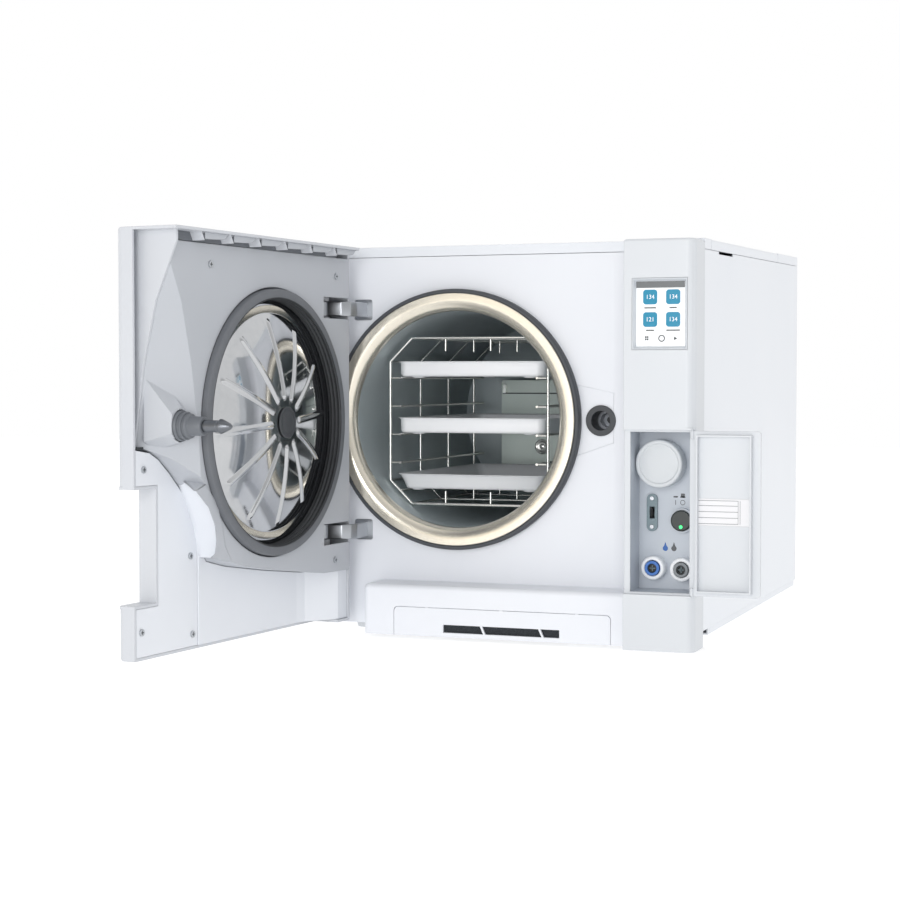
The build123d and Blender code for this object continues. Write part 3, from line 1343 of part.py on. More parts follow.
carrier_face = fascia_y - 34.0
carrier_t = 6.0
carrier_neck_r = 45.0
rim_y = fascia_y - lid_rim_face
lid_t = 3.0
lid_r = gasket_r - gasket_w - seam_gap
crown_r = lid_r - 13.2
rib_w = 6.5
rib_rise = 2.5
rib_turn = 5.0
hub_hole_r = 8.3
hub_stem_r = 8.0
hub_cap_t = 2.5
rib_start = 24.0
rib_end = crown_r - 6.0
ball_r = (crown_r ** 2 + lid_crown ** 2) / (2 * lid_crown)
ball_y = rim_y + lid_crown - ball_r
with BuildPart() as chamber_lid:
    with BuildPart(mode=Mode.PRIVATE) as ribs:
        with BuildSketch(Plane((axis_x, rim_y - sheet, axis_z), x_dir=(1, 0, 0), z_dir=(0, 1, 0))):
            with PolarLocations((rib_start + rib_end) / 2, rib_count, start_angle=rib_turn):
                SlotOverall(rib_end - rib_start, rib_w)
        extrude(amount=2 * lid_crown)
        with Locations((axis_x, ball_y, axis_z)):
            Sphere(ball_r + rib_rise, mode=Mode.INTERSECT)
    with BuildPart(mode=Mode.PRIVATE) as dome:
        with Locations((axis_x, ball_y, axis_z)):
            Sphere(ball_r)
        drum(axis_x, axis_z, rim_y, rim_y + 2 * lid_crown, crown_r, Mode.INTERSECT)
    with BuildPart(mode=Mode.PRIVATE) as under:
        with Locations((axis_x, ball_y, axis_z)):
            Sphere(ball_r - lid_t)
        drum(axis_x, axis_z, rim_y - lid_t, rim_y + 2 * lid_crown, crown_r, Mode.INTERSECT)
    drum(axis_x, axis_z, carrier_face, rim_y, lid_r)
    add(dome.part)
    add(ribs.part)
    drum(axis_x, axis_z, carrier_face, rim_y - lid_t, crown_r, Mode.SUBTRACT)
    add(under.part, mode=Mode.SUBTRACT)
    drum(axis_x, axis_z, carrier_face, rim_y + 2 * lid_crown, hub_hole_r, Mode.SUBTRACT)
swing(chamber_lid)
chamber_lid.part.label = "chamber_lid"
export_step(chamber_lid.part, "parts/chamber_lid.step")

groove_w = 4.0
groove_d = 3.0
with BuildPart() as door_gasket:
    drum(axis_x, axis_z, carrier_face, fascia_y - gasket_face, gasket_r)
    fillet(door_gasket.edges().group_by(Axis.Y)[-1], wall)
    with BuildPart(mode=Mode.PRIVATE) as groove:
        mid = gasket_r - gasket_w / 2
        drum(axis_x, axis_z, fascia_y - gasket_face - groove_d, fascia_y, mid + groove_w / 2)
        drum(axis_x, axis_z, fascia_y - gasket_face - groove_d, fascia_y, mid - groove_w / 2, Mode.SUBTRACT)
    add(groove.part, mode=Mode.SUBTRACT)
    drum(axis_x, axis_z, carrier_face, fascia_y, gasket_r - gasket_w, Mode.SUBTRACT)
swing(door_gasket)
door_gasket.part.label = "door_gasket"
export_step(door_gasket.part, "parts/door_gasket.step")

hub_seat = rim_y + lid_crown - hub_hole_r ** 2 / (2 * ball_r) + hinge_fit
with BuildPart() as lid_hub:
    drum(axis_x, axis_z, hub_seat, hub_seat + hub_cap_t, hub_r)
    fillet(lid_hub.edges().group_by(Axis.Y)[-1], sheet)
    drum(axis_x, axis_z, carrier_face, hub_seat, hub_stem_r)
swing(lid_hub)
lid_hub.part.label = "lid_hub"
export_step(lid_hub.part, "parts/lid_hub.step")

with BuildPart() as lid_carrier:
    drum(axis_x, axis_z, carrier_face - carrier_t, carrier_face, gasket_r)
    drum(axis_x, axis_z, skin_in, carrier_face - carrier_t, carrier_neck_r)
    drum(axis_x, axis_z, skin_in, carrier_face - carrier_t, carrier_neck_r - 2 * wall, Mode.SUBTRACT)
swing(lid_carrier)
lid_carrier.part.label = "lid_carrier"
export_step(lid_carrier.part, "parts/lid_carrier.step")

pin_shoulder = fascia_y + 22.0
pin_tip = fascia_y + 34.0
pin_tip_r = 2.0
pin_foot_r = 12.0
pin_foot_t = 30.0
boot_base_y = fascia_y - 23.0
boot_mid_y = fascia_y - 13.0
boot_end_y = fascia_y + 2.0
boot_r = 10.0
with BuildPart() as lock_pin:
    drum(lock_x, axis_z, skin_in, skin_in + pin_foot_t, pin_foot_r)
    drum(lock_x, axis_z, skin_in, pin_shoulder, lock_pin_r)
    spike(lock_x, axis_z, pin_shoulder, pin_tip, lock_pin_r, pin_tip_r)
swing(lock_pin)
lock_pin.part.label = "lock_pin"
export_step(lock_pin.part, "parts/lock_pin.step")

with BuildPart() as pin_boot:
    drum(lock_x, axis_z, skin_in + pin_foot_t, boot_base_y, boot_base_r)
    spike(lock_x, axis_z, boot_base_y, boot_mid_y, boot_base_r, boot_r)
    drum(lock_x, axis_z, boot_mid_y, boot_end_y, boot_r)
    drum(lock_x, axis_z, skin_in, boot_end_y, lock_pin_r + hinge_fit, Mode.SUBTRACT)
swing(pin_boot)
pin_boot.part.label = "pin_boot"
export_step(pin_boot.part, "parts/pin_boot.step")

with BuildPart() as door_screws:
    for places, seat in ((cover_screws, cover_y), (plate_screws, plate_y)):
        for x, z in places:
            drum(x, z, seat, seat + screw_h, screw_r)
            drum(x, z, seat - screw_len, seat, screw_shank_r)
swing(door_screws)
door_screws.part.label = "door_screws"
export_step(door_screws.part, "parts/door_screws.step")
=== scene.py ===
# %% [markdown]
# # A bench steam steriliser, dressed in Blender
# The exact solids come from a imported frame. This lesson gives them their finishes, adds the small
# pieces that a solid model leaves out, and lights the whole for a plain studio picture.
# Everything is in metres, with X to the right, Y to the back and Z up.

# %% Load the frame and keep its size
import bpy
import bmesh
from math import cos, hypot, pi, radians, sin, sqrt
from mathutils import Matrix, Vector


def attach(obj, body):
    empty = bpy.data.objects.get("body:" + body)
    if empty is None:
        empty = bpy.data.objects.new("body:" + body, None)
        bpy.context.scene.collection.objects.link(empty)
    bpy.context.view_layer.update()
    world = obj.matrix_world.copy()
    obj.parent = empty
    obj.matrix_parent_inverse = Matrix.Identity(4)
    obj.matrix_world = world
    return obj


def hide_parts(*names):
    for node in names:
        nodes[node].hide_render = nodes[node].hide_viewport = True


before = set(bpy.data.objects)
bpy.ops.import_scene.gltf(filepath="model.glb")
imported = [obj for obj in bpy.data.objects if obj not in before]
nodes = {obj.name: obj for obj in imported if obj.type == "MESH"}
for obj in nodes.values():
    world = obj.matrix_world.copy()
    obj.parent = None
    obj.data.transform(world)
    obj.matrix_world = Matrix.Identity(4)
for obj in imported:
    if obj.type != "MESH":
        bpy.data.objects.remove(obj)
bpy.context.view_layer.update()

# %% [markdown]
# ## Places on the machine
# Sizes are read from the cabinet's left side, its recessed front and the bench, in millimetres,
# because that is how the photograph was measured. One function turns them into metres in the frame.

# %% Places in millimetres
MM = 0.001
CABINET_LEFT = -252.265
FASCIA_Y = -65.826
CHAMBER_X = 173.5
CHAMBER_Z = 250.0
LOCK_X = 346.0
DOOR_OPEN = 95.6
PIVOT = (24.8, -47.5)


def place(x, y, z):
    """A point in metres, from millimetres measured on the cabinet."""
    return Vector(((CABINET_LEFT + x) * MM, (FASCIA_Y + y) * MM, z * MM))


pivot = place(PIVOT[0], PIVOT[1], 0)
door_turn = Matrix.Translation(pivot) @ Matrix.Rotation(radians(-DOOR_OPEN), 4, "Z") @ Matrix.Translation(-pivot)
print("chamber centre:", [round(v, 4) for v in place(CHAMBER_X, 0, CHAMBER_Z)])

# %% [markdown]
# ## One way to add a shader node
# A material is a small graph. Each call below adds one node, sets its values and links its inputs,
# so a finish reads as a short list of what it is made of.

# %% Colour and node helpers


def colour(hexa):
    """An sRGB hex value as linear red, green, blue and alpha."""
    out = []
    for i in (0, 2, 4):
        c = int(hexa[i:i + 2], 16) / 255
        out.append(c / 12.92 if c <= 0.04045 else ((c + 0.055) / 1.055) ** 2.4)
    return (*out, 1.0)


def add(tree, kind, settings=None, links=None):
    """Adds a node; settings are its properties or inputs, links are the sockets that feed it."""
    node = tree.nodes.new(kind)
    for key, value in (settings or {}).items():
        if isinstance(key, str) and hasattr(node, key):
            setattr(node, key, value)
        else:
            node.inputs[key].default_value = value
    for key, socket in (links or {}).items():
        tree.links.new(socket, node.inputs[key])
    return node


def start_finish(name, base, roughness, metallic=0.0):
    """A new material with its shader, and the surface point in metres for its patterns."""
    made = bpy.data.materials.new(name)
    made.use_nodes = True
    tree = made.node_tree
    tree.nodes.clear()
    shader = add(tree, "ShaderNodeBsdfPrincipled",
                 {"Base Color": colour(base), "Roughness": roughness, "Metallic": metallic})
    add(tree, "ShaderNodeOutputMaterial", links={"Surface": shader.outputs["BSDF"]})
    point = add(tree, "ShaderNodeTexCoord").outputs["Object"]
    return made, tree, shader, point


def tint(tree, shader, pattern, low, high):
    """Lets a pattern move the colour between two shades of the same stuff."""
    mix = add(tree, "ShaderNodeMix", {"data_type": "RGBA"}, {0: pattern})
    mix.inputs[6].default_value = colour(low)
    mix.inputs[7].default_value = colour(high)
    tree.links.new(mix.outputs[2], shader.inputs["Base Color"])


def wear(tree, shader, pattern, low, high):
    """Lets a pattern move the roughness between two values."""
    span = add(tree, "ShaderNodeMapRange", {"To Min": low, "To Max": high}, {"Value": pattern})
    tree.links.new(span.outputs["Result"], shader.inputs["Roughness"])


def relief(tree, shader, pattern, depth_mm, edge_mm=0.0):
    """Raises a pattern by a real depth, over edges that are softened by a real radius."""
    bump = add(tree, "ShaderNodeBump", {"Strength": 1.0, "Distance": depth_mm * MM}, {"Height": pattern})
    if edge_mm:
        soft = add(tree, "ShaderNodeBevel", {"samples": 6, "Radius": edge_mm * MM})
        tree.links.new(soft.outputs["Normal"], bump.inputs["Normal"])
    tree.links.new(bump.outputs["Normal"], shader.inputs["Normal"])


# %% [markdown]
# ## Plastics
# The housing is ABS, injection moulded in white. A mould's spark-eroded wall leaves a fine grain of
# about a millimetre, too small to see as dots but enough to soften a reflection. A slow cloud of
# colour stands for the slight difference between one moulding and the next. The door's cover is a
# separate grey moulding. The door's white plates, its shell and the service door are darker copies
# of the white as painted shade, the shell darkest, for faces that get less light.

# %% Moulded plastics
TONE_MM = 90.0
IOR_ABS = 1.53


def moulded(name, base, shade, roughness, grain_mm=1.2, depth_mm=0.01, edge_mm=0.9, spread=0.05):
    """Injection-moulded plastic: a fine grain, a slow tone and softly rounded edges."""
    made, tree, shader, point = start_finish(name, base, roughness)
    shader.inputs["IOR"].default_value = IOR_ABS
    cloud = add(tree, "ShaderNodeTexNoise", {"Scale": 1 / (TONE_MM * MM), "Detail": 2.0}, {"Vector": point})
    grain = add(tree, "ShaderNodeTexNoise", {"Scale": 1 / (grain_mm * MM), "Detail": 3.0}, {"Vector": point})
    tint(tree, shader, cloud.outputs["Fac"], base, shade)
    wear(tree, shader, grain.outputs["Fac"], roughness - spread, roughness + spread)
    relief(tree, shader, grain.outputs["Fac"], depth_mm, edge_mm)
    return made


abs_white = moulded("abs_moulded_white", "eaecf1", "e5e8ee", 0.34)
# painted shade: a darker copy of the white for the door's inner faces, which get less light
abs_door_white_painted_shade = moulded("abs_moulded_door_white_painted_shade", "e4e7ec", "dfe2e8", 0.36)
# painted shade: the darkest copy of the white, for the door shell's rim that lies in shadow
abs_shell_white_painted_shade = moulded("abs_moulded_shell_white_painted_shade", "cbced3", "c6c9cf", 0.38)
# on the service door this darker white is painted shade of its recess
abs_column_white = moulded("abs_moulded_column_white", "d5d8dc", "d0d4d9", 0.36)
abs_cover_grey = moulded("abs_moulded_cover_grey", "b9bcc2", "b1b5bb", 0.42, edge_mm=1.6)
abs_bay_grey = moulded("abs_moulded_bay_grey", "c4cad2", "bdc4cd", 0.38)
abs_cap_white = moulded("abs_moulded_cap_white", "f1f3f6", "eceff3", 0.36)
abs_bezel_dark = moulded("abs_moulded_bezel_dark", "3c3f43", "36393d", 0.5)
abs_screen_frame = moulded("abs_moulded_screen_frame", "d3d7dc", "cbd0d6", 0.38)
abs_boot_grey = moulded("abs_moulded_boot_grey", "696d73", "62666c", 0.45)
abs_fan_black = moulded("abs_moulded_fan_black", "26272a", "1f2023", 0.5)
abs_cap_grey = moulded("abs_moulded_cap_grey", "d3d7da", "cdd1d5", 0.38)
abs_usb_grey = moulded("abs_moulded_port_grey", "7d8f96", "74868d", 0.4)
abs_sleeve_blue = moulded("abs_moulded_sleeve_blue", "2f6fc0", "2a67b6", 0.35)
abs_sleeve_grey = moulded("abs_moulded_sleeve_grey", "7f8488", "777c81", 0.38)
abs_button_dark = moulded("abs_moulded_button_dark", "13201f", "0f1a19", 0.3)
abs_core_black = moulded("abs_moulded_core_black", "22282c", "1c2124", 0.4)
tank_natural = moulded("polyethylene_blown_natural", "dfe6e8", "d6dfe2", 0.5, grain_mm=2.5, depth_mm=0.03)
print("plastics:", len(bpy.data.materials))

# %% [markdown]
# ## Rubber
# The door gasket is silicone rubber, pressed in a mould. It is grey, matt and a little dusty: the
# powder that keeps it from sticking makes faint lighter clouds.

# %% Silicone and rubber
POWDER_MM, PORE_MM = 14.0, 0.9
IOR_SILICONE = 1.43


def rubber(name, base, dust, roughness):
    """Moulded rubber: matt, with faint clouds of powder."""
    made, tree, shader, point = start_finish(name, base, roughness)
    shader.inputs["IOR"].default_value = IOR_SILICONE
    powder = add(tree, "ShaderNodeTexNoise", {"Scale": 1 / (POWDER_MM * MM), "Detail": 5.0}, {"Vector": point})
    pores = add(tree, "ShaderNodeTexNoise", {"Scale": 1 / (PORE_MM * MM), "Detail": 2.0}, {"Vector": point})
    tint(tree, shader, powder.outputs["Fac"], base, dust)
    relief(tree, shader, pores.outputs["Fac"], 0.03, 0.5)
    return made


silicone_grey = rubber("silicone_moulded_grey", "63666b", "6c6f74", 0.55)
# painted shade: a darker copy of the gasket's grey for its lips in the groove
silicone_lip_painted_shade = rubber("silicone_moulded_lip_painted_shade", "2c2e31", "36383b", 0.4)
silicone_trim = rubber("silicone_moulded_trim", "46494d", "4d5055", 0.55)
rubber_foot = rubber("rubber_moulded_foot", "c9ccd0", "d0d3d6", 0.7)
print("with rubbers:", len(bpy.data.materials))

# %% [markdown]
# ## Powder coat
# The sheets of the cabinet are steel with baked powder. It flows as it melts and leaves orange
# peel, waves a few millimetres wide and a few hundredths deep, which makes reflections wobble.

# %% Powder-coated sheet
PEEL_MM, COAT_TONE_MM = 3.5, 160.0


def powder_coat(name, base, shade, roughness):
    """Baked powder on steel: glossy, with orange peel."""
    made, tree, shader, point = start_finish(name, base, roughness)
    peel = add(tree, "ShaderNodeTexNoise", {"Scale": 1 / (PEEL_MM * MM), "Detail": 1.0}, {"Vector": point})
    cloud = add(tree, "ShaderNodeTexNoise", {"Scale": 1 / (COAT_TONE_MM * MM)}, {"Vector": point})
    tint(tree, shader, cloud.outputs["Fac"], base, shade)
    wear(tree, shader, peel.outputs["Fac"], roughness - 0.03, roughness + 0.05)
    relief(tree, shader, peel.outputs["Fac"], 0.02, 0.8)
    return made


coat_white = powder_coat("powder_coat_white", "e8ebf0", "e3e7ed", 0.32)
coat_black = powder_coat("powder_coat_black", "303338", "292b30", 0.42)
print("with coats:", len(bpy.data.materials))

# %% [markdown]
# ## Steel and aluminium
# Stainless steel shows how it was worked. Polishing leaves a near mirror with faint swirls, a belt
# leaves long fine lines, and turning leaves rings. The lines here are noise that is stretched along
# one direction, at a real spacing. Steam dulls the chamber and its baffle with a pale film, which
# scatters light, so their metal share is below one.

# %% Worked metals
METAL_TONE_MM = 60.0


def lined_metal(name, base, shade, roughness, along, spacing_mm=0.7, stretch=40.0, depth_mm=0.004,
                spread=0.08, metallic=1.0):
    """Metal with fine lines along X, Y or Z, as a belt or rolls leave them."""
    made, tree, shader, point = start_finish(name, base, roughness, metallic)
    scale = [1 / (spacing_mm * MM)] * 3
    scale["XYZ".index(along)] /= stretch
    run = add(tree, "ShaderNodeMapping", {"Scale": scale}, {"Vector": point})
    lines = add(tree, "ShaderNodeTexNoise", {"Scale": 1.0, "Detail": 2.0}, {"Vector": run.outputs["Vector"]})
    cloud = add(tree, "ShaderNodeTexNoise", {"Scale": 1 / (METAL_TONE_MM * MM), "Detail": 3.0}, {"Vector": point})
    tint(tree, shader, cloud.outputs["Fac"], base, shade)
    wear(tree, shader, lines.outputs["Fac"], roughness - spread, roughness + spread)
    relief(tree, shader, lines.outputs["Fac"], depth_mm, 0.4)
    return made


def polished(name, base, shade, roughness, swirl_mm=9.0, depth_mm=0.004):
    """Polished metal: a near mirror whose swirls show only in its roughness."""
    made, tree, shader, point = start_finish(name, base, roughness, 1.0)
    swirl = add(tree, "ShaderNodeTexNoise", {"Scale": 1 / (swirl_mm * MM), "Detail": 4.0, "Distortion": 1.5},
                {"Vector": point})
    tint(tree, shader, swirl.outputs["Fac"], base, shade)
    wear(tree, shader, swirl.outputs["Fac"], max(0.02, roughness - 0.04), roughness + 0.05)
    relief(tree, shader, swirl.outputs["Fac"], depth_mm)
    return made


steel_lid = polished("stainless_polished_lid", "c6c7c9", "b7b9bb", 0.07, swirl_mm=22.0)
# painted reflection: the cream tint of this steel's colour stands for the warm light it mirrors
steel_flange_painted_warm = polished("stainless_polished_flange_painted_warm", "efe9db", "e4ddce", 0.25)
steel_wire = polished("stainless_drawn_wire", "e3e3df", "d6d6d2", 0.22, swirl_mm=4.0)
steel_chamber = lined_metal("stainless_rolled_chamber", "c4ced1", "b8c2c5", 0.38, "Y", spacing_mm=1.5, metallic=0.55)
steel_sheet = lined_metal("zinc_rolled_sheet", "b0b4b7", "a5a9ac", 0.4, "X", spacing_mm=1.2)
steel_baffle = lined_metal("stainless_belt_ground_baffle", "dbe4df", "d0dad4", 0.45, "X", metallic=0.72)
steel_turned = lined_metal("steel_turned_bar", "7c7f84", "707378", 0.34, "Z", stretch=12.0)
steel_arm = lined_metal("steel_belt_ground_arm", "b4b7bb", "a6a9ae", 0.32, "X", spacing_mm=0.9)
steel_screw = lined_metal("steel_zinc_screw", "c6c9cc", "b9bcc0", 0.35, "X", stretch=4.0)
aluminium_fin = lined_metal("aluminium_mill_fin", "b9bcbe", "adb0b3", 0.4, "Z")
print("with metals:", len(bpy.data.materials))

# %% [markdown]
# ## Anodised trays
# The trays are aluminium with a thick matt oxide. It hides most of the metal's shine behind a pale
# skin that scatters light, so the metal share is low and the rolling lines are faint.

# %% Anodised aluminium
TRAY_METAL_SHARE = 0.12
aluminium_tray = lined_metal("aluminium_anodised_tray", "f4f5f7", "edeff2", 0.5, "X", spacing_mm=1.0,
                             depth_mm=0.002, metallic=TRAY_METAL_SHARE)
print("tray metal share:", TRAY_METAL_SHARE)

# %% [markdown]
# ## Felt and board
# The chamber is wrapped in felted glass fibre, which scatters light and has a coarse, woolly
# relief. The circuit board is glass and resin under a green coating.

# %% Felt and circuit board
WOOL_MM, CELL_MM = 3.0, 22.0
felt_pale, tree, shader, point = start_finish("glass_fibre_felted", "d8d4c6", 0.9)
wool = add(tree, "ShaderNodeTexNoise", {"Scale": 1 / (WOOL_MM * MM), "Detail": 8.0, "Distortion": 0.8},
           {"Vector": point})
tint(tree, shader, wool.outputs["Fac"], "c9c4b3", "e2dfd3")
relief(tree, shader, wool.outputs["Fac"], 0.6)

board_green, tree, shader, point = start_finish("epoxy_board_coated", "2b5a3c", 0.35)
cells = add(tree, "ShaderNodeTexBrick", {"Scale": 1 / (CELL_MM * MM), "Mortar Size": 0.03}, {"Vector": point})
tint(tree, shader, cells.outputs["Fac"], "2b5a3c", "6f8f5a")
relief(tree, shader, cells.outputs["Fac"], 0.05)
print("with felt and board:", len(bpy.data.materials))

# %% [markdown]
# ## Dress the solid pieces
# Each solid of the frame gets the finish of the real piece. One line per finish keeps the list easy
# to read against the object.

# %% Give every solid its finish
finishes = {
    abs_white: ["front_fascia", "base_front", "lower_access_panel"],
    # the service door's darker white is painted shade of its recess
    abs_column_white: ["control_column", "service_door"],
    abs_door_white_painted_shade: ["door_lower_plate", "door_liner"],
    abs_shell_white_painted_shade: ["door_shell"],
    abs_bay_grey: ["service_bay"],
    coat_white: ["side_panel_left", "side_panel_right", "top_cover", "top_lid", "base_pan"],
    steel_sheet: ["rear_panel", "front_bulkhead", "chamber_cradle"],
    rubber_foot: ["feet"],
    abs_cover_grey: ["door_inner_cover"],
    steel_lid: ["chamber_lid"],
    steel_flange_painted_warm: ["chamber_flange"],
    silicone_trim: ["chamber_trim_ring"],
    steel_chamber: ["chamber_vessel"],
    steel_wire: ["rack"],
    aluminium_tray: ["tray_upper", "tray_middle", "tray_lower"],
    felt_pale: ["insulation"],
    silicone_grey: ["door_gasket"],
    abs_bezel_dark: ["lock_bezel", "lid_hub"],
    abs_boot_grey: ["pin_boot"],
    steel_turned: ["lock_nut", "lock_pin", "hinge_pins", "lid_carrier"],
    steel_screw: ["door_screws"],
    steel_arm: ["usb_screws", "hinge_arms"],
    coat_black: ["lock_motor", "vacuum_pump"],
    steel_baffle: ["baffle_plate", "drain_strainer", "steam_generator"],
    aluminium_fin: ["condenser"],
    abs_fan_black: ["fan_frame", "fan_rotor", "mains_inlet"],
    tank_natural: ["clean_tank", "used_tank"],
    board_green: ["main_board"],
    abs_screen_frame: ["screen_bezel"],
    abs_cap_white: ["touch_screen", "coupling_bodies"],
    abs_cap_grey: ["filter_cap", "filter_socket"],
    abs_usb_grey: ["usb_plate"],
    abs_button_dark: ["power_button"],
    abs_sleeve_blue: ["clean_sleeve"],
    abs_sleeve_grey: ["used_sleeve"],
}
dressed = set()
for finish, names in finishes.items():
    for name in names:
        solid = nodes[name]
        solid.data.materials.clear()
        solid.data.materials.append(finish)
        dressed.add(name)
assert dressed == set(nodes), set(nodes) - dressed
print("dressed:", len(dressed))

# %% [markdown]
# ## Ways to make a piece
# Nearly every added piece is one of three things: turned about an axis, a plate with an outline, or
# a bar that follows a path. Each has a function that takes millimetres. All of them end in the one
# below, which welds the mesh, smooths it and lets it ride on the body that carries it.

# %% Finish a mesh
WELD_M = 1e-6


def finished(name, verts, faces, finish, body, on_door=False, smooth=40):
    """A mesh from points in metres; door pieces are drawn shut and then turned open."""
    mesh = bpy.data.meshes.new(name)
    mesh.from_pydata([tuple(v) for v in verts], [], faces)
    work = bmesh.new()
    work.from_mesh(mesh)
    bmesh.ops.remove_doubles(work, verts=work.verts, dist=WELD_M)
    bmesh.ops.recalc_face_normals(work, faces=work.faces)
    work.to_mesh(mesh)
    work.free()
    if on_door:
        mesh.transform(door_turn)
    for face in mesh.polygons:
        face.use_smooth = True
    mesh.set_sharp_from_angle(angle=radians(smooth))
    made = bpy.data.objects.new(name, mesh)
    bpy.context.scene.collection.objects.link(made)
    mesh.materials.append(finish)
    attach(made, body)
    return made


# %% [markdown]
# ## Turning
# Knobs, rings and pins are cut on a lathe or moulded round. A profile of radius and depth is carried
# round a line along Y in even steps, which gives their shoulders without any other tool.

# %% Turned pieces


def turned(name, profile, x, z, finish, body, steps=96, on_door=False, smooth=40):
    """A piece turned about a line along Y; the profile is (radius, y) in millimetres."""
    verts, faces = [], []
    for k in range(steps):
        a = 2 * pi * k / steps
        for r, y in profile:
            verts.append(place(x + r * cos(a), y, z + r * sin(a)))
    n = len(profile)
    for k in range(steps):
        m = (k + 1) % steps
        for i in range(n - 1):
            faces.append((k * n + i, k * n + i + 1, m * n + i + 1, m * n + i))
    return finished(name, verts, faces, finish, body, on_door, smooth)


# %% [markdown]
# ## Plates
# Labels, blades and pads are flat. Each is an outline in X and Z with a front face and a thickness,
# and arcs round the corners of the outline.

# %% Outlines and plates


def rounded_outline(x0, x1, z0, z1, r, steps=6):
    """The corner-rounded outline of a rectangle, anticlockwise."""
    points = []
    centres = ((x1 - r, z1 - r), (x0 + r, z1 - r), (x0 + r, z0 + r), (x1 - r, z0 + r))
    for start, (cx, cz) in zip((0, 90, 180, 270), centres):
        for i in range(steps + 1):
            a = radians(start + 90 * i / steps)
            points.append((cx + r * cos(a), cz + r * sin(a)))
    return points


def plate(name, outlines, front, thick, finish, body, on_door=False):
    """Flat pieces with an outline in x and z, their front face at one depth."""
    verts, faces = [], []
    for outline in outlines:
        first = len(verts)
        n = len(outline)
        for y in (front, front + thick):
            verts += [place(x, y, z) for x, z in outline]
        faces.append(tuple(range(first, first + n)))
        faces.append(tuple(range(first + 2 * n - 1, first + n - 1, -1)))
        for i in range(n):
            j = (i + 1) % n
            faces.append((first + i, first + n + i, first + n + j, first + j))
    return finished(name, verts, faces, finish, body, on_door, 30)


print("points in a rounded outline:", len(rounded_outline(0, 10, 0, 10, 1)))

# %% [markdown]
# ## Skins over sections
# A bent strap, a pressed tray or a wire is a row of sections with the same number of points. Faces
# join each section to the next, and one face closes each end.

# %% Lofted pieces


def lofted(name, rings, finish, body, on_door=False, closed=True):
    """A skin over rings of equally many points, closed at both ends with a face."""
    n = len(rings[0])
    verts = [v for ring in rings for v in ring]
    faces = []
    for k in range(len(rings) - 1):
        for i in range(n):
            j = (i + 1) % n
            faces.append((k * n + i, k * n + j, (k + 1) * n + j, (k + 1) * n + i))
    if closed:
        faces.append(tuple(range(n)))
        faces.append(tuple(range(len(rings) * n - 1, (len(rings) - 1) * n - 1, -1)))
    return finished(name, verts, faces, finish, body, on_door)


# %% [markdown]
# ## Chamber lid
# The lid is a dish of polished stainless steel with twelve beads pressed into it, each with round
# ends. A solid could only have sharp ribs, so the dish is made as a polar grid whose height is the
# dome's curve plus the bead's, and it takes the solid's place.

# %% Pressed lid
RIM_Y, CROWN, CROWN_R, LID_R = -27.0, 21.0, 118.0, 131.2
BEADS, BEAD_START, BEAD_END, BEAD_TURN = 12, 24.0, 112.0, -5.0
BEAD_HALF, BEAD_RISE = 4.3, 2.5
BALL_R = (CROWN_R ** 2 + CROWN ** 2) / (2 * CROWN)
BALL_Y = RIM_Y + CROWN - BALL_R


def lid_height(r, a):
    """The lid's depth at a radius and angle: the dome, the nearest bead and the flat rim."""
    y = BALL_Y + sqrt(BALL_R ** 2 - r ** 2) if r < CROWN_R else RIM_Y
    step = 2 * pi / BEADS
    off = (a - radians(BEAD_TURN) + step / 2) % step - step / 2
    along, across = r * cos(off), r * sin(off)
    near = min(max(along, BEAD_START + BEAD_HALF), BEAD_END - BEAD_HALF)
    t = hypot(along - near, across) / BEAD_HALF
    return y + (BEAD_RISE * (1 - t * t) ** 1.5 if t < 1 else 0.0)


LID_HOLE_R, RING_STEP, RING_COUNT = 8.3, 1.35, 82
lid_radii = [LID_HOLE_R + i * RING_STEP for i in range(RING_COUNT)]
lid_radii += [CROWN_R, 118.8, 121.0, 126.0, LID_R - 0.4]
lid_steps = 900
verts, faces = [], []
for k in range(lid_steps):
    a = 2 * pi * k / lid_steps
    for r in lid_radii:
        verts.append(place(CHAMBER_X + r * cos(a), lid_height(r, a), CHAMBER_Z + r * sin(a)))
    for r, y in ((LID_R, RIM_Y - 0.4), (LID_R, RIM_Y - 7.0)):
        verts.append(place(CHAMBER_X + r * cos(a), y, CHAMBER_Z + r * sin(a)))
n = len(lid_radii) + 2
for k in range(lid_steps):
    m = (k + 1) % lid_steps
    for i in range(n - 1):
        faces.append((k * n + i, k * n + i + 1, m * n + i + 1, m * n + i))
lid = finished("lid_pressed", verts, faces, steel_lid, "main_door", True, 60)
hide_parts("chamber_lid")
print("lid faces:", len(lid.data.polygons))

# %% [markdown]
# ## Gasket
# The gasket is one moulded ring with a flat sealing face and four soft lips on its inner wall. It is
# turned from its profile. The lips sit in the shade of the groove, so the faces inside one radius take
# a darker copy of the rubber as painted shade.

# %% Gasket
LIP_R = 134.0
gasket_profile = [(144.0, -34.0), (144.0, -15.2), (143.6, -14.2), (142.6, -13.5), (134.6, -13.5), (133.2, -13.9),
                  (132.5, -15.0), (133.1, -16.6), (134.6, -17.6), (133.2, -18.6), (132.3, -19.8), (133.0, -21.2),
                  (134.4, -22.2), (133.0, -23.2), (132.0, -24.4), (132.8, -25.8), (134.0, -26.6), (132.8, -27.6),
                  (131.5, -28.6), (131.5, -34.0)]
gasket = turned("gasket_lipped", gasket_profile, CHAMBER_X, CHAMBER_Z, silicone_grey, "main_door",
                192, True)
gasket.data.materials.append(silicone_lip_painted_shade)
axis = door_turn @ place(CHAMBER_X, 0, CHAMBER_Z)
for face in gasket.data.polygons:
    out = (face.center - axis).project(door_turn.to_3x3() @ Vector((0, 1, 0)))
    if (face.center - axis - out).length < LIP_R * MM:
        face.material_index = 1
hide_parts("door_gasket")
print("gasket faces:", len(gasket.data.polygons))

# %% [markdown]
# ## Hub
# A dark cap covers the bolt in the lid's middle. It is turned too, with a rounded shoulder and one
# groove in its face.

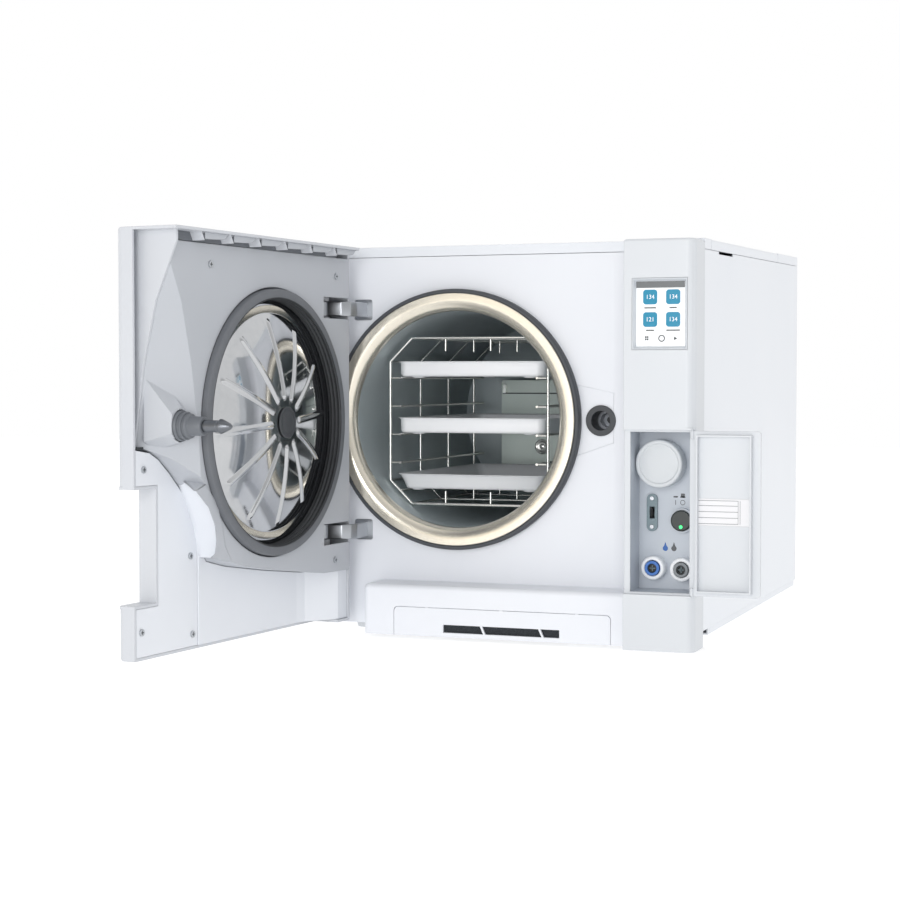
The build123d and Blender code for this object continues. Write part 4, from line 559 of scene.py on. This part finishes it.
# %% Hub cap
hub_profile = [(8.0, -34.0), (8.0, -6.1), (15.6, -6.1), (17.0, -5.4), (17.0, -4.6), (16.2, -3.8), (13.5, -3.6),
               (12.8, -4.0), (11.6, -4.0), (11.0, -3.6), (4.0, -3.5), (0.0, -3.5)]
hub = turned("hub_cap", hub_profile, CHAMBER_X, CHAMBER_Z, abs_bezel_dark, "main_door", 72, True)
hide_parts("lid_hub")
print("hub faces:", len(hub.data.polygons))

# %% [markdown]
# ## Flange and trim ring
# The chamber's mouth is a polished steel lip that rolls inwards in a quarter circle. A dark moulded
# ring covers the gap between the lip and the white front. Both are turned with many steps, because a
# polished edge shows every flat.

# %% Flange and trim ring
ROLL_R, ROLL_FROM, ROLL_STEPS = 13.0, 138.0, 12
flange_profile = [(145.0, 4.0), (145.0, -12.2), (144.2, -ROLL_R), (ROLL_FROM, -ROLL_R)]
for i in range(1, ROLL_STEPS + 1):
    a = radians(90 * i / ROLL_STEPS)
    flange_profile.append((ROLL_FROM - ROLL_R * sin(a), -ROLL_R * cos(a)))
flange_profile += [(125.0, 4.0), (145.0, 4.0)]
# the flange's cream colour is a painted warm reflection
flange = turned("flange_polished", flange_profile, CHAMBER_X, CHAMBER_Z, steel_flange_painted_warm, "cabinet",
                240)
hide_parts("chamber_flange")
trim_profile = [(145.3, 0.0), (145.3, -11.0), (146.0, -12.0), (148.2, -12.0), (149.4, -11.4), (150.0, -10.2),
                (150.0, 0.0), (145.3, 0.0)]
trim = turned("trim_ring", trim_profile, CHAMBER_X, CHAMBER_Z, silicone_trim, "cabinet", 240)
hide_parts("chamber_trim_ring")
print("flange points:", len(flange_profile))

# %% [markdown]
# ## Lock pin and boot
# The pin that locks the door is turned steel with a collar and a cone that finds the hole. Its boot
# is a moulded bush with steps. Turning gives both their round shoulders.

# %% Lock pin and its boot
boot_profile = [(6.1, -41.7), (15.5, -41.7), (15.5, -23.8), (14.9, -22.9), (13.6, -22.8), (13.4, -20.6), (14.2, -20.2),
                (14.2, -18.6), (13.4, -17.9), (12.2, -17.9), (12.0, -16.0), (12.7, -15.6), (12.5, -14.2), (11.4, -13.2),
                (10.2, -12.6), (9.8, -9.0), (9.6, 0.8), (8.9, 1.9), (6.1, 1.9), (6.1, -41.7)]
boot = turned("pin_boot_stepped", boot_profile, LOCK_X, CHAMBER_Z, abs_boot_grey, "main_door", 72, True)
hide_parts("pin_boot")
pin_profile = [(0.0, -71.7), (12.0, -71.7), (12.0, -42.0), (6.0, -42.0), (6.0, 17.6), (5.3, 18.4), (5.3, 20.4),
               (7.4, 21.2), (7.4, 22.2), (3.0, 32.0), (1.6, 33.6), (0.0, 34.0)]
pin = turned("lock_pin_turned", pin_profile, LOCK_X, CHAMBER_Z, steel_turned, "main_door", 64, True)
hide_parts("lock_pin")
print("boot and pin faces:", len(boot.data.polygons), len(pin.data.polygons))

# %% [markdown]
# ## Hinge arms
# Each arm is a thick steel strap, bent round the door's edge and ground on its broad face. A
# section with rounded edges follows the bent path, which is smoother than joined blocks. The path
# is the solid's and the strap a little thinner, because the door's shell passes close when it swings.

# %% Hinge arms
ARM_PATH = [(59.5, 2.0), (59.5, -30.0), (56.0, -38.0), (48.0, -43.5), (24.8, -47.5)]
ARM_BENDS = [0.0, 3.0, 3.0, 3.0, 0.0]
ARM_LEVELS = (120.0, 377.5)
ARM_H, ARM_T = 17.0, 4.8
EYE_R, EYE_HOLE_R, EYE_EDGE, EYE_STEPS = 8.0, 4.1, 0.6, 32
PAD_X, PAD_HALF_H = (46.3, 68.5), 11.7


def bent_path(points, radii, steps=8):
    """A path with its corners rounded by arcs."""
    out = [Vector(points[0])]
    for i in range(1, len(points) - 1):
        p, a, b = Vector(points[i]), Vector(points[i - 1]), Vector(points[i + 1])
        u, v = (a - p).normalized(), (b - p).normalized()
        half = u.angle(v) / 2
        cut = radii[i] / max(sin(half) / cos(half), 1e-6)
        start, end = p + u * cut, p + v * cut
        for k in range(steps + 1):
            t = k / steps
            out.append(start * (1 - t) ** 2 + p * 2 * t * (1 - t) + end * t ** 2)
    out.append(Vector(points[-1]))
    return out


arm_line = bent_path(ARM_PATH, ARM_BENDS)
for z in ARM_LEVELS:
    section = rounded_outline(-ARM_T / 2, ARM_T / 2, z - ARM_H / 2, z + ARM_H / 2, 1.2, 4)
    rings = []
    for i, p in enumerate(arm_line):
        run = (arm_line[min(i + 1, len(arm_line) - 1)] - arm_line[max(i - 1, 0)]).normalized()
        side = Vector((-run.y, run.x))
        rings.append([place(p.x + side.x * s, p.y + side.y * s, h) for s, h in section])
    lofted("arm_strap_%d" % z, rings, steel_arm, "cabinet")
    eye = []
    low, high = z - ARM_H / 2, z + ARM_H / 2
    for h, r in ((low, EYE_HOLE_R), (low, EYE_R - EYE_EDGE), (low + EYE_EDGE, EYE_R), (high - EYE_EDGE, EYE_R),
                 (high, EYE_R - EYE_EDGE), (high, EYE_HOLE_R), (low, EYE_HOLE_R)):
        angles = [2 * pi * k / EYE_STEPS for k in range(EYE_STEPS)]
        eye.append([place(PIVOT[0] + r * cos(a), PIVOT[1] + r * sin(a), h) for a in angles])
    lofted("arm_eye_%d" % z, eye, steel_arm, "cabinet", closed=False)
    pad = [rounded_outline(*PAD_X, z - PAD_HALF_H, z + PAD_HALF_H, 3.0)]
    plate("arm_pad_%d" % z, pad, 1.0, 3.0, steel_arm, "cabinet")
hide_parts("hinge_arms")
print("arm points:", len(arm_line))

# %% [markdown]
# ## Trays
# A tray is pressed from aluminium sheet: a flat floor, walls that lean out, a flared rim and round
# corners. Rings of rounded rectangles, from the floor's underside over the rim and back inside,
# make it in one skin.

# %% Pressed trays
TRAY_Y0, TRAY_Y1, TRAY_H = 43.0, 335.0, 18.0
STUB_X, STUB_Y, STUB_STEPS = (-70, 70), (60, 318), 24
tray_mid = (TRAY_Y0 + TRAY_Y1) / 2
half_x, half_y = 93.5, (TRAY_Y1 - TRAY_Y0) / 2


def tray_ring(inset, radius, z):
    """A rounded rectangle, inset from the rim."""
    outline = rounded_outline(-half_x + inset, half_x - inset, -half_y + inset, half_y - inset, radius, 8)
    return [place(CHAMBER_X + x, tray_mid + y, z) for x, y in outline]


for name, foot, lean in (("upper", 299.6, 3.4), ("middle", 232.8, 3.4), ("lower", 166.0, 8.0)):
    top = foot + TRAY_H
    sections = [(40.0, 8.0, foot), (lean + 3.0, 7.0, foot), (lean + 1.6, 8.0, foot + 0.5),
                (lean + 0.5, 9.0, foot + 1.6), (lean - 0.2, 10.0, foot + 3.4),
                (lean * 0.55 + 1.0, 11.0, foot + 10.0), (2.6, 12.0, top - 2.2),
                (1.8, 13.0, top - 1.3), (0.3, 14.0, top - 0.9), (0.0, 14.0, top - 0.5), (0.2, 14.0, top - 0.1),
                (2.0, 13.0, top - 0.2), (3.5, 11.5, top - 1.6), (lean * 0.55 + 2.0, 10.5, foot + 10.0),
                (lean + 0.9, 9.5, foot + 3.6), (lean + 2.0, 8.5, foot + 2.0), (lean + 3.4, 7.0, foot + 1.1),
                (40.0, 8.0, foot + 1.0)]
    tray = lofted("tray_pressed_" + name, [tray_ring(*s) for s in sections], aluminium_tray, "tray_" + name)
    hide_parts("tray_" + name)
    for k, (x, y) in enumerate([(x, y) for y in STUB_Y for x in STUB_X]):
        stub = []
        for z, r in ((foot + 0.2, 8.0), (foot - 0.6, 7.6), (foot - 1.5, 6.4), (foot - 1.7, 4.0)):
            angles = [2 * pi * i / STUB_STEPS for i in range(STUB_STEPS)]
            stub.append([place(CHAMBER_X + x + r * cos(a), y + r * sin(a), z) for a in angles])
        lofted("tray_stub_%s_%d" % (name, k), stub, aluminium_tray, "tray_" + name)
print("faces of one tray:", len(tray.data.polygons))

# %% [markdown]
# ## Display finishes
# The screen is a colour panel behind a tapered frame. Every part of its picture gives a little light
# of its own. A fine grid of cells stands for the pixels, and the glass in front keeps its gloss.

# %% Lit finishes
PIXEL_MM = 0.4


def glowing(name, base, strength, roughness=0.2):
    """A lit part of a display: its own colour, a faint pixel grid and a gloss."""
    made, tree, shader, point = start_finish(name, base, roughness)
    dots = add(tree, "ShaderNodeTexVoronoi", {"Scale": 1 / (PIXEL_MM * MM)}, {"Vector": point})
    wear(tree, shader, dots.outputs["Distance"], roughness - 0.02, roughness + 0.03)
    shader.inputs["Emission Color"].default_value = colour(base)
    shader.inputs["Emission Strength"].default_value = strength
    return made


panel_white = glowing("display_white", "f2f5f7", 0.12)
panel_bar = glowing("display_bar", "6d7072", 0.05)
panel_teal = glowing("display_teal", "1a86a8", 0.08)
panel_dark = glowing("display_dark", "4a4d50", 0.02)
print("with lit finishes:", len(bpy.data.materials))

# %% [markdown]
# ## Display picture
# The picture is plain: a status bar, four round-cornered keys with a line below each, and three
# marks at the foot. Each is a thin plate that lies just in front of the panel.

# %% Display plates
SCREEN_Y = -69.7
GROUND_Y, INK_Y, DIGIT_Y = SCREEN_Y - 0.15, SCREEN_Y - 0.3, SCREEN_Y - 0.4
PRINT_T = 0.1
KEY_X, KEY_Z, KEY_W, KEY_H = (412.2, 437.4), (376.7, 352.6), 15.6, 15.8
plate("display_ground", [rounded_outline(403.5, 459.5, 330.5, 402.5, 1.0)], GROUND_Y, PRINT_T, panel_white,
      "cabinet")
plate("display_status", [rounded_outline(404.2, 458.0, 394.4, 401.8, 0.6)], INK_Y, PRINT_T, panel_bar, "cabinet")
keys = [rounded_outline(x, x + KEY_W, z, z + KEY_H, 3.2) for x in KEY_X for z in KEY_Z]
plate("display_keys", keys, INK_Y, PRINT_T, panel_teal, "cabinet")
lines = [rounded_outline(x - w / 2, x + w / 2, z, z + 1.3, 0.6) for x, z, w in
         ((420, 372.4, 13), (445.2, 372.4, 8), (420, 348.3, 9), (445.2, 348.3, 15))]
marks = [[(446.2, 338.2), (449.8, 340.2), (446.2, 342.2)]]
marks += [rounded_outline(x, x + 1.7, z, z + 1.9, 0.3) for x in (414.4, 416.5) for z in (338.4, 340.8)]
plate("display_lines", lines + marks, INK_Y, PRINT_T, panel_dark, "cabinet")
turned("display_dial", [(2.6, GROUND_Y), (2.6, INK_Y), (3.7, INK_Y), (3.7, GROUND_Y)], 432.7, 340.3, panel_dark,
       "cabinet", 40)
print("display outlines:", len(keys) + len(lines) + len(marks))

# %% [markdown]
# ## Display numbers
# Each key shows a plain temperature. Blender's own text object gives clean digits, a hair thick so
# that they have an edge.

# %% Numbers on the keys
DIGIT_T = 0.05


def number(name, text, x, z, size, finish, y, body):
    """Plain digits as a flat text piece, centred on a place."""
    curve = bpy.data.curves.new(name, "FONT")
    curve.body = text
    curve.size = size * MM
    curve.align_x = "CENTER"
    curve.align_y = "CENTER"
    curve.extrude = DIGIT_T * MM
    made = bpy.data.objects.new(name, curve)
    bpy.context.scene.collection.objects.link(made)
    made.location = place(x, y, z)
    made.rotation_euler = (pi / 2, 0, 0)
    curve.materials.append(finish)
    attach(made, body)
    return made


temperatures = ((420, 384.6, "134"), (445.2, 384.6, "134"), (420, 360.5, "121"), (445.2, 360.5, "134"))
for k, (x, z, digits) in enumerate(temperatures):
    number("display_number_%d" % k, digits, x, z, 6.4, panel_white, DIGIT_Y, "cabinet")
print("numbers:", len(temperatures))

# %% [markdown]
# ## Filter cap and power light
# Behind the small door sit a round filter cap, a socket for a memory stick, the power button and two
# hose couplings. The cap is a moulded cup with a raised rim, turned from its profile; the button has
# a small green light let into its face.

# %% Filter cap and power light
cap_profile = [(22.1, -33.3), (26.0, -33.3), (26.0, -50.4), (25.4, -51.5), (24.2, -52.0), (22.2, -51.8), (21.4, -50.9),
               (20.8, -50.4), (20.0, -50.6), (12.0, -51.1), (0.0, -51.3)]
cap = turned("filter_cap_moulded", cap_profile, 425.5, 205.0, abs_cap_grey, "filter_cap", 96)
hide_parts("filter_cap")
led_green = glowing("led_green", "35d06a", 2.5)
turned("power_light", [(0.0, -38.9), (1.4, -38.8), (1.9, -38.5), (1.9, -37.5)], 447.0, 135.8, led_green, "power_button",
       24)
print("cap faces:", len(cap.data.polygons))

# %% [markdown]
# ## Hose couplings
# The two couplings are alike: a white collar with a rolled lip, a dark core in its middle and a small
# cross in the core's recess. One loop makes both.

# %% Couplings
for name, x, z in (("clean", 417.0, 90.6), ("used", 449.0, 89.7)):
    collar = [(8.5, -33.0), (8.5, -43.4), (9.2, -44.4), (11.4, -44.6), (12.6, -43.8), (13.0, -42.6), (13.0, -31.5),
              (13.0, -30.0)]
    piece = turned("collar_" + name, collar, x, z, abs_cap_white, "cabinet", 64)
    core = [(5.0, -30.0), (5.0, -44.2), (4.6, -44.9), (3.6, -45.0), (3.3, -43.0), (0.0, -43.0)]
    turned("core_" + name, core, x, z, abs_core_black, "cabinet", 40)
    cross = [rounded_outline(x - 3.4, x + 3.4, z - 0.4, z + 0.4, 0.3),
             rounded_outline(x - 0.4, x + 0.4, z - 3.4, z + 3.4, 0.3)]
    plate("core_cross_" + name, cross, -44.4, 1.4, abs_usb_grey, "cabinet")
    if name == "clean":
        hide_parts("coupling_bodies")
print("points of a collar:", len(collar))

# %% [markdown]
# ## Signs in the bay
# Drops mark clean and used water, and small bars and a ring mark the button. They are printed, so
# each is a plate a tenth of a millimetre thick. The socket's tongue is made here as well.

# %% Printed signs and the socket's tongue
BAY_Y = -30.0
SIGN_Y = BAY_Y - 0.15
DROP_WIDTH, DROP_ARC, DROP_STEPS = 0.42, 300, 16


def drop(x, z, size):
    """The outline of a water drop with its tip up."""
    points = [(x, z + size)]
    for i in range(DROP_STEPS + 1):
        a = radians(-DROP_ARC / 2 + i * DROP_ARC / DROP_STEPS)
        points.append((x + size * DROP_WIDTH * sin(a), z - size * DROP_WIDTH * cos(a)))
    return points


ink_blue = moulded("ink_printed_blue", "2464b4", "2261ad", 0.4)
ink_grey = moulded("ink_printed_grey", "56595c", "505356", 0.4)
plate("drop_clean", [drop(428.0, 111.5, 7.0)], SIGN_Y, PRINT_T, ink_blue, "cabinet")
plate("drop_used", [drop(437.6, 111.5, 7.0)], SIGN_Y, PRINT_T, ink_grey, "cabinet")
signs = [rounded_outline(438.9, 439.6, 159.4, 164.6, 0.3), rounded_outline(436.9, 441.7, 167.4, 169.0, 0.5),
         rounded_outline(445.2, 449.4, 167.4, 171.8, 0.4), rounded_outline(444.4, 450.2, 167.4, 168.6, 0.4)]
plate("button_signs", signs, SIGN_Y, PRINT_T, ink_grey, "cabinet")
turned("button_ring_sign", [(2.2, BAY_Y - 0.05), (2.2, SIGN_Y), (2.8, SIGN_Y), (2.8, BAY_Y - 0.05)],
       447.2, 162.0, ink_grey, "cabinet", 32)
tongue = [rounded_outline(412.4, 413.6, 145.6, 155.4, 0.2)]
plate("port_tongue", tongue, -31.0, 3.0, abs_core_black, "cabinet")
print("signs:", len(signs) + 3)

# %% [markdown]
# ## Louvres
# Along the door's top rim the air slots are scoops: leaf-shaped blades with a curled end and a
# shaded gap beneath. The blades are one plate each, and a grey plate behind them is painted shade
# for the gap.

# %% Curled louvre blades
BLADES, BLADE_PITCH, BLADE_FROM = 6, 54.0, 13.0
BLADE_EDGE = [(4.0, 444.3), (6.0, 443.4), (8.0, 441.2), (10.6, 439.1), (15.0, 438.0), (30.0, 437.3), (48.0, 436.8),
              (48.0, 444.3)]
blades = [[(BLADE_FROM + BLADE_PITCH * k + x, z) for x, z in BLADE_EDGE] for k in range(BLADES)]
plate("louvre_blades", blades, -6.9, 0.8, abs_cover_grey, "main_door", True)
# painted shade: this grey plate behind the blades stands for the shadow in the gap
plate("louvre_shadow", [[(40.0, 434.9), (40.0, 443.9), (371.0, 443.9), (371.0, 434.9)]], -20.0, 0.8, abs_boot_grey,
      "main_door", True)
print("blades:", len(blades))

# %% [markdown]
# ## Fairing
# Below the lock pin the white plate swells up to meet the grey cover in one soft curve. Closed
# sections, each a quarter turn between a low and a high line, are joined into one shell. It is
# thicker than the softened edges of its plastic, or they would show through as stripes.

# %% Fairing between the white plate and the grey cover
FAIR_TOP = [(329.1, 184.0), (305.6, 165.8), (293.7, 146.0), (291.3, 130.6), (293.9, 117.6), (302.5, 114.1)]
FAIR_LOW = [(305.4, 181.9), (294.6, 164.7), (283.7, 144.3), (278.2, 128.2), (276.4, 115.6), (274.6, 111.0)]
FAIR_TIP = ((308.0, 197.2), (314.4, 195.7))
FAIR_T, FAIR_Y, FAIR_RISE, FAIR_STEPS = 2.5, -53.8, 34.2, 8


def fairing_ring(top, low, rise):
    """One closed section of the fairing: its curved face and, a little behind, the same again."""
    curve = [radians(90 * i / FAIR_STEPS) for i in range(FAIR_STEPS + 1)]
    ring = []
    for back, angles in ((0.0, curve), (FAIR_T, curve[::-1])):
        ring += [place(top[0] + (low[0] - top[0]) * sin(a) - back, FAIR_Y + rise * cos(a) - back,
                       top[1] + (low[1] - top[1]) * sin(a)) for a in angles]
    return ring


rings = [fairing_ring(*FAIR_TIP, 0.0)] + [fairing_ring(top, low, FAIR_RISE) for top, low in zip(FAIR_TOP, FAIR_LOW)]
lofted("plate_fairing", rings, abs_door_white_painted_shade, "main_door", True)
brim = FAIR_TOP + [(262.0, 106.4), (275.0, 124.0), (281.0, 148.0), (290.0, 168.0), (305.0, 184.0), (311.0, 189.6)]
plate("cover_brim", [brim], -20.4, 0.7, abs_cover_grey, "main_door", True)
wedge_points = ((FAIR_TIP[0][0], -53.7, FAIR_TIP[0][1]), (311.0, -19.7, 190.2), (FAIR_TOP[0][0], -19.7, FAIR_TOP[0][1]))
wedge = [[place(x, y - back, z) for x, y, z in wedge_points] for back in (0.0, FAIR_T)]
lofted("cover_wedge", wedge, abs_cover_grey, "main_door", True)
plate("edge_slot", [rounded_outline(372.0, 384.4, 226.9, 229.3, 0.8)], -54.1, 0.6, abs_core_black, "main_door",
      True)
print("fairing sections:", len(rings))

# %% [markdown]
# ## Vent foam
# The slot at the foot of the machine has dark filter foam behind it. Its open cells are a cell
# pattern of their real width, which tints the foam and roughens it.

# %% Foam behind the vent slot
FOAM_CELL_MM = 1.6
foam_dark, tree, shader, point = start_finish("polyether_foam_dark", "2c2f33", 0.9)
pores = add(tree, "ShaderNodeTexVoronoi", {"Scale": 1 / (FOAM_CELL_MM * MM)}, {"Vector": point})
tint(tree, shader, pores.outputs["Distance"], "1f2226", "383c41")
relief(tree, shader, pores.outputs["Distance"], 0.4)
plate("vent_foam", [rounded_outline(171.0, 316.0, 6.0, 21.0, 1.0)], -43.7, 2.0, foam_dark, "cabinet")
print("foam cell:", FOAM_CELL_MM, "mm")

# %% [markdown]
# ## Inner loops of the rack
# The wires of the rack repeat along its depth: two more loops stand between the first and the last,
# each with the same cut corners and two hooks above and below.

# %% Wire loops
LOOP_HALF, LOOP_CUT, WIRE_R, LOOP_Z = 98.1, 70.6, 1.35, 246.9
LOOP_Y, HOOK_X, HOOK_END = (138.5, 237.5), 28.0, 82.6
WIRE_STEPS, MITRE = 12, 1.08
corners = [(LOOP_HALF, -LOOP_CUT), (LOOP_HALF, LOOP_CUT), (LOOP_CUT, LOOP_HALF), (-LOOP_CUT, LOOP_HALF),
           (-LOOP_HALF, LOOP_CUT), (-LOOP_HALF, -LOOP_CUT), (-LOOP_CUT, -LOOP_HALF), (LOOP_CUT, -LOOP_HALF)]


def wire_rod(name, ends, finish, body, r=WIRE_R):
    """A straight round wire between two points in millimetres."""
    a, b = Vector(ends[0]), Vector(ends[1])
    run = (b - a).normalized()
    side = run.cross(Vector((0, 1, 0)) if abs(run.y) < 0.9 else Vector((1, 0, 0))).normalized()
    up = run.cross(side)
    angles = [2 * pi * k / WIRE_STEPS for k in range(WIRE_STEPS)]
    rings = [[place(*(p + side * r * cos(t) + up * r * sin(t))) for t in angles] for p in (a, b)]
    return lofted(name, rings, finish, body)


around_wire = [2 * pi * k / WIRE_STEPS for k in range(WIRE_STEPS)]
for y in LOOP_Y:
    rings = []
    for i, (x, z) in enumerate(corners):
        before, after = Vector(corners[i - 1]), Vector(corners[(i + 1) % 8])
        here = Vector((x, z))
        lean = ((here - before).normalized() + (here - after).normalized()).normalized()
        rings.append([place(CHAMBER_X + x + lean.x * WIRE_R * MITRE * cos(a), y + WIRE_R * sin(a),
                            LOOP_Z + z + lean.y * WIRE_R * MITRE * cos(a)) for a in around_wire])
    rings.append(rings[0])
    lofted("rack_loop_%d" % y, rings, steel_wire, "cabinet", closed=False)
    for side in (-HOOK_X, HOOK_X):
        for end in (-1, 1):
            hook = [(CHAMBER_X + side, y, LOOP_Z + end * reach) for reach in (LOOP_HALF - 1.0, HOOK_END)]
            wire_rod("rack_hook_%d_%d_%d" % (y, side + HOOK_X, end + 1), hook, steel_wire, "cabinet")
print("loops and corners:", len(LOOP_Y), len(corners))

# %% [markdown]
# ## Cross slots of the door's screws
# Every screw that holds the inner panels has a cross cut into its head.

# %% Screw crosses
SLOT_HALF, SLOT_W = 2.2, 0.45
for name, front, spots in (("cover", -18.6, ((301.0, 413.6), (40.0, 413.5), (43.5, 89.7))),
                           ("plate", -52.6, ((372.0, 206.5), (289.0, 113.6), (376.6, 44.2), (285.7, 31.8)))):
    bars = []
    for x, z in spots:
        bars += [rounded_outline(x - SLOT_HALF, x + SLOT_HALF, z - SLOT_W, z + SLOT_W, 0.3),
                 rounded_outline(x - SLOT_W, x + SLOT_W, z - SLOT_HALF, z + SLOT_HALF, 0.3)]
    plate("screw_cross_" + name, bars, front, 0.3, abs_core_black, "main_door", True)
print("bars on the plate's screws:", len(bars))

# %% [markdown]
# ## Rating label
# The inside of the service door carries a sticker. Its words are left off: a white plate with plain
# ruled lines stands in its place.

# %% Label with plain rules
paper_white = moulded("label_printed_white", "eaeaec", "e4e4e7", 0.45)
ink_rule = moulded("ink_printed_rule", "8d9095", "868a8f", 0.45)
LABEL_Y = -75.0
plate("door_label", [rounded_outline(472.6, 530.0, 141.0, 170.0, 1.0)], LABEL_Y - 0.15, PRINT_T, paper_white,
      "service_door")
rules = [rounded_outline(474.0, 517.5, z, z + 0.5, 0.15) for z in (143.0, 149.4, 155.8, 162.2, 167.6)]
rules += [rounded_outline(x, x + 0.4, 143.0, 168.0, 0.15) for x in (473.6, 517.3, 519.4)]
plate("label_rules", rules, LABEL_Y - 0.3, PRINT_T, ink_rule, "service_door")
print("label rules:", len(rules))

# %% [markdown]
# ## Behind the trays
# The baffle at the chamber's back is two plates with a dark joint line between them, a small hook
# above it and a round port with a screw in its middle.

# %% Baffle details
port_profile = [(10.0, 373.9), (10.0, 372.9), (9.2, 372.3), (8.0, 372.3), (7.2, 372.9), (4.0, 373.0), (3.6, 371.6),
                (2.0, 371.0), (0.0, 371.0)]
turned("baffle_port", port_profile, 159.7, 206.0, steel_wire, "cabinet", 40)
plate("baffle_joint", [rounded_outline(104.0, 243.0, 276.5, 278.0, 0.5)], 373.2, 0.7, abs_core_black, "cabinet")
plate("baffle_hook", [rounded_outline(105.5, 110.0, 277.5, 289.0, 1.0)], 368.0, 5.8, steel_wire, "cabinet")
print("port points:", len(port_profile))

# %% [markdown]
# ## Camera
# The photograph was taken from the right, slightly above the middle, with a long lens. The numbers
# come from the cabinet's straight edges, whose sizes are known.

# %% Camera at the photograph's place
CAMERA_AT = (926.4, -2063.7, 298.3)
CAMERA_TURN, CAMERA_TIP = 20.24, 2.08
camera_data = bpy.data.cameras.new("camera")
camera_data.sensor_width = 36.0
camera_data.lens = 76.17
camera_data.shift_y = -0.0036
camera_data.clip_end = 20.0
camera = bpy.data.objects.new("camera", camera_data)
bpy.context.scene.collection.objects.link(camera)
camera.location = place(*CAMERA_AT)
turn, tip = radians(CAMERA_TURN), radians(CAMERA_TIP)
look = Vector((-sin(turn) * cos(tip), cos(turn) * cos(tip), -sin(tip)))
camera.rotation_euler = look.to_track_quat("-Z", "Y").to_euler()
bpy.context.scene.camera = camera
print("camera at:", [round(v, 3) for v in camera.location])

# %% [markdown]
# ## Floor
# The photograph was cut out onto pure white. A floor of white paper that glows a little gives the
# same white under the machine and lights the low front from below.

# %% Floor
FLOOR_HALF, FLOOR_GLOW, FIBRE_MM = 6.0, 0.72, 2.0
floor_mesh = bpy.data.meshes.new("floor")
floor_corners = [(x * FLOOR_HALF, y * FLOOR_HALF, 0) for x, y in ((-1, -1), (1, -1), (1, 1), (-1, 1))]
floor_mesh.from_pydata(floor_corners, [], [(0, 1, 2, 3)])
floor = bpy.data.objects.new("floor", floor_mesh)
bpy.context.scene.collection.objects.link(floor)
floor_pale, tree, shader, point = start_finish("paper_backdrop", "b0b0b0", 0.9)
fibre = add(tree, "ShaderNodeTexNoise", {"Scale": 1 / (FIBRE_MM * MM)}, {"Vector": point})
tint(tree, shader, fibre.outputs["Fac"], "acacac", "b4b4b4")
shader.inputs["Emission Color"].default_value = (1, 1, 1, 1)
shader.inputs["Emission Strength"].default_value = FLOOR_GLOW
floor.data.materials.append(floor_pale)
print("floor half width:", FLOOR_HALF)

# %% [markdown]
# ## Sky
# A white studio lights white plastic from all round. The sky is bright behind the machine and
# dimmer behind the camera, so that flat polished steel mirrors a grey instead of pure white.

# %% Sky
SKY_DIM, SKY_BRIGHT = 0.42, 1.0
sky = bpy.data.worlds.new("studio")
bpy.context.scene.world = sky
sky.use_nodes = True
tree = sky.node_tree
around = add(tree, "ShaderNodeTexCoord").outputs["Generated"]
parts = add(tree, "ShaderNodeSeparateXYZ", links={"Vector": around})
front = add(tree, "ShaderNodeMapRange",
            {"From Min": -1.0, "From Max": 0.15, "To Min": SKY_DIM, "To Max": SKY_BRIGHT},
            {"Value": parts.outputs["Y"]})
back = tree.nodes["Background"]
back.inputs["Color"].default_value = (1, 1, 1, 1)
tree.links.new(front.outputs["Result"], back.inputs["Strength"])
bpy.context.scene.view_settings.view_transform = "Standard"
print("sky from", SKY_DIM, "to", SKY_BRIGHT)

# %% [markdown]
# ## Lamps
# Three soft lamps finish the light: a key in front and above, a warm one from the left that colours
# the chamber's lip, and a low strip that reaches under the trays and the front's lower half.

# %% Soft lamps


def lamp(name, at, towards, size, watts, hexa="ffffff"):
    """A soft square lamp that faces a point."""
    data = bpy.data.lights.new(name, "AREA")
    data.shape = "RECTANGLE"
    data.size, data.size_y = size
    data.energy = watts
    data.color = colour(hexa)[:3]
    made = bpy.data.objects.new(name, data)
    bpy.context.scene.collection.objects.link(made)
    made.location = at
    made.rotation_euler = (Vector(towards) - Vector(at)).to_track_quat("-Z", "Y").to_euler()
    return made


lamp("key_front", (0.15, -2.7, 0.75), (0, 0, 0.25), (0.9, 0.9), 15.4)
lamp("warm_left", (-1.15, -2.5, 0.35), (-0.08, -0.06, 0.25), (1.1, 1.5), 3.2, "fff1d8")
lamp("low_front", (0.2, -2.2, 0.12), (-0.05, 0, 0.12), (1.4, 0.2), 5.2)
print("lamps:", len(bpy.data.lights))
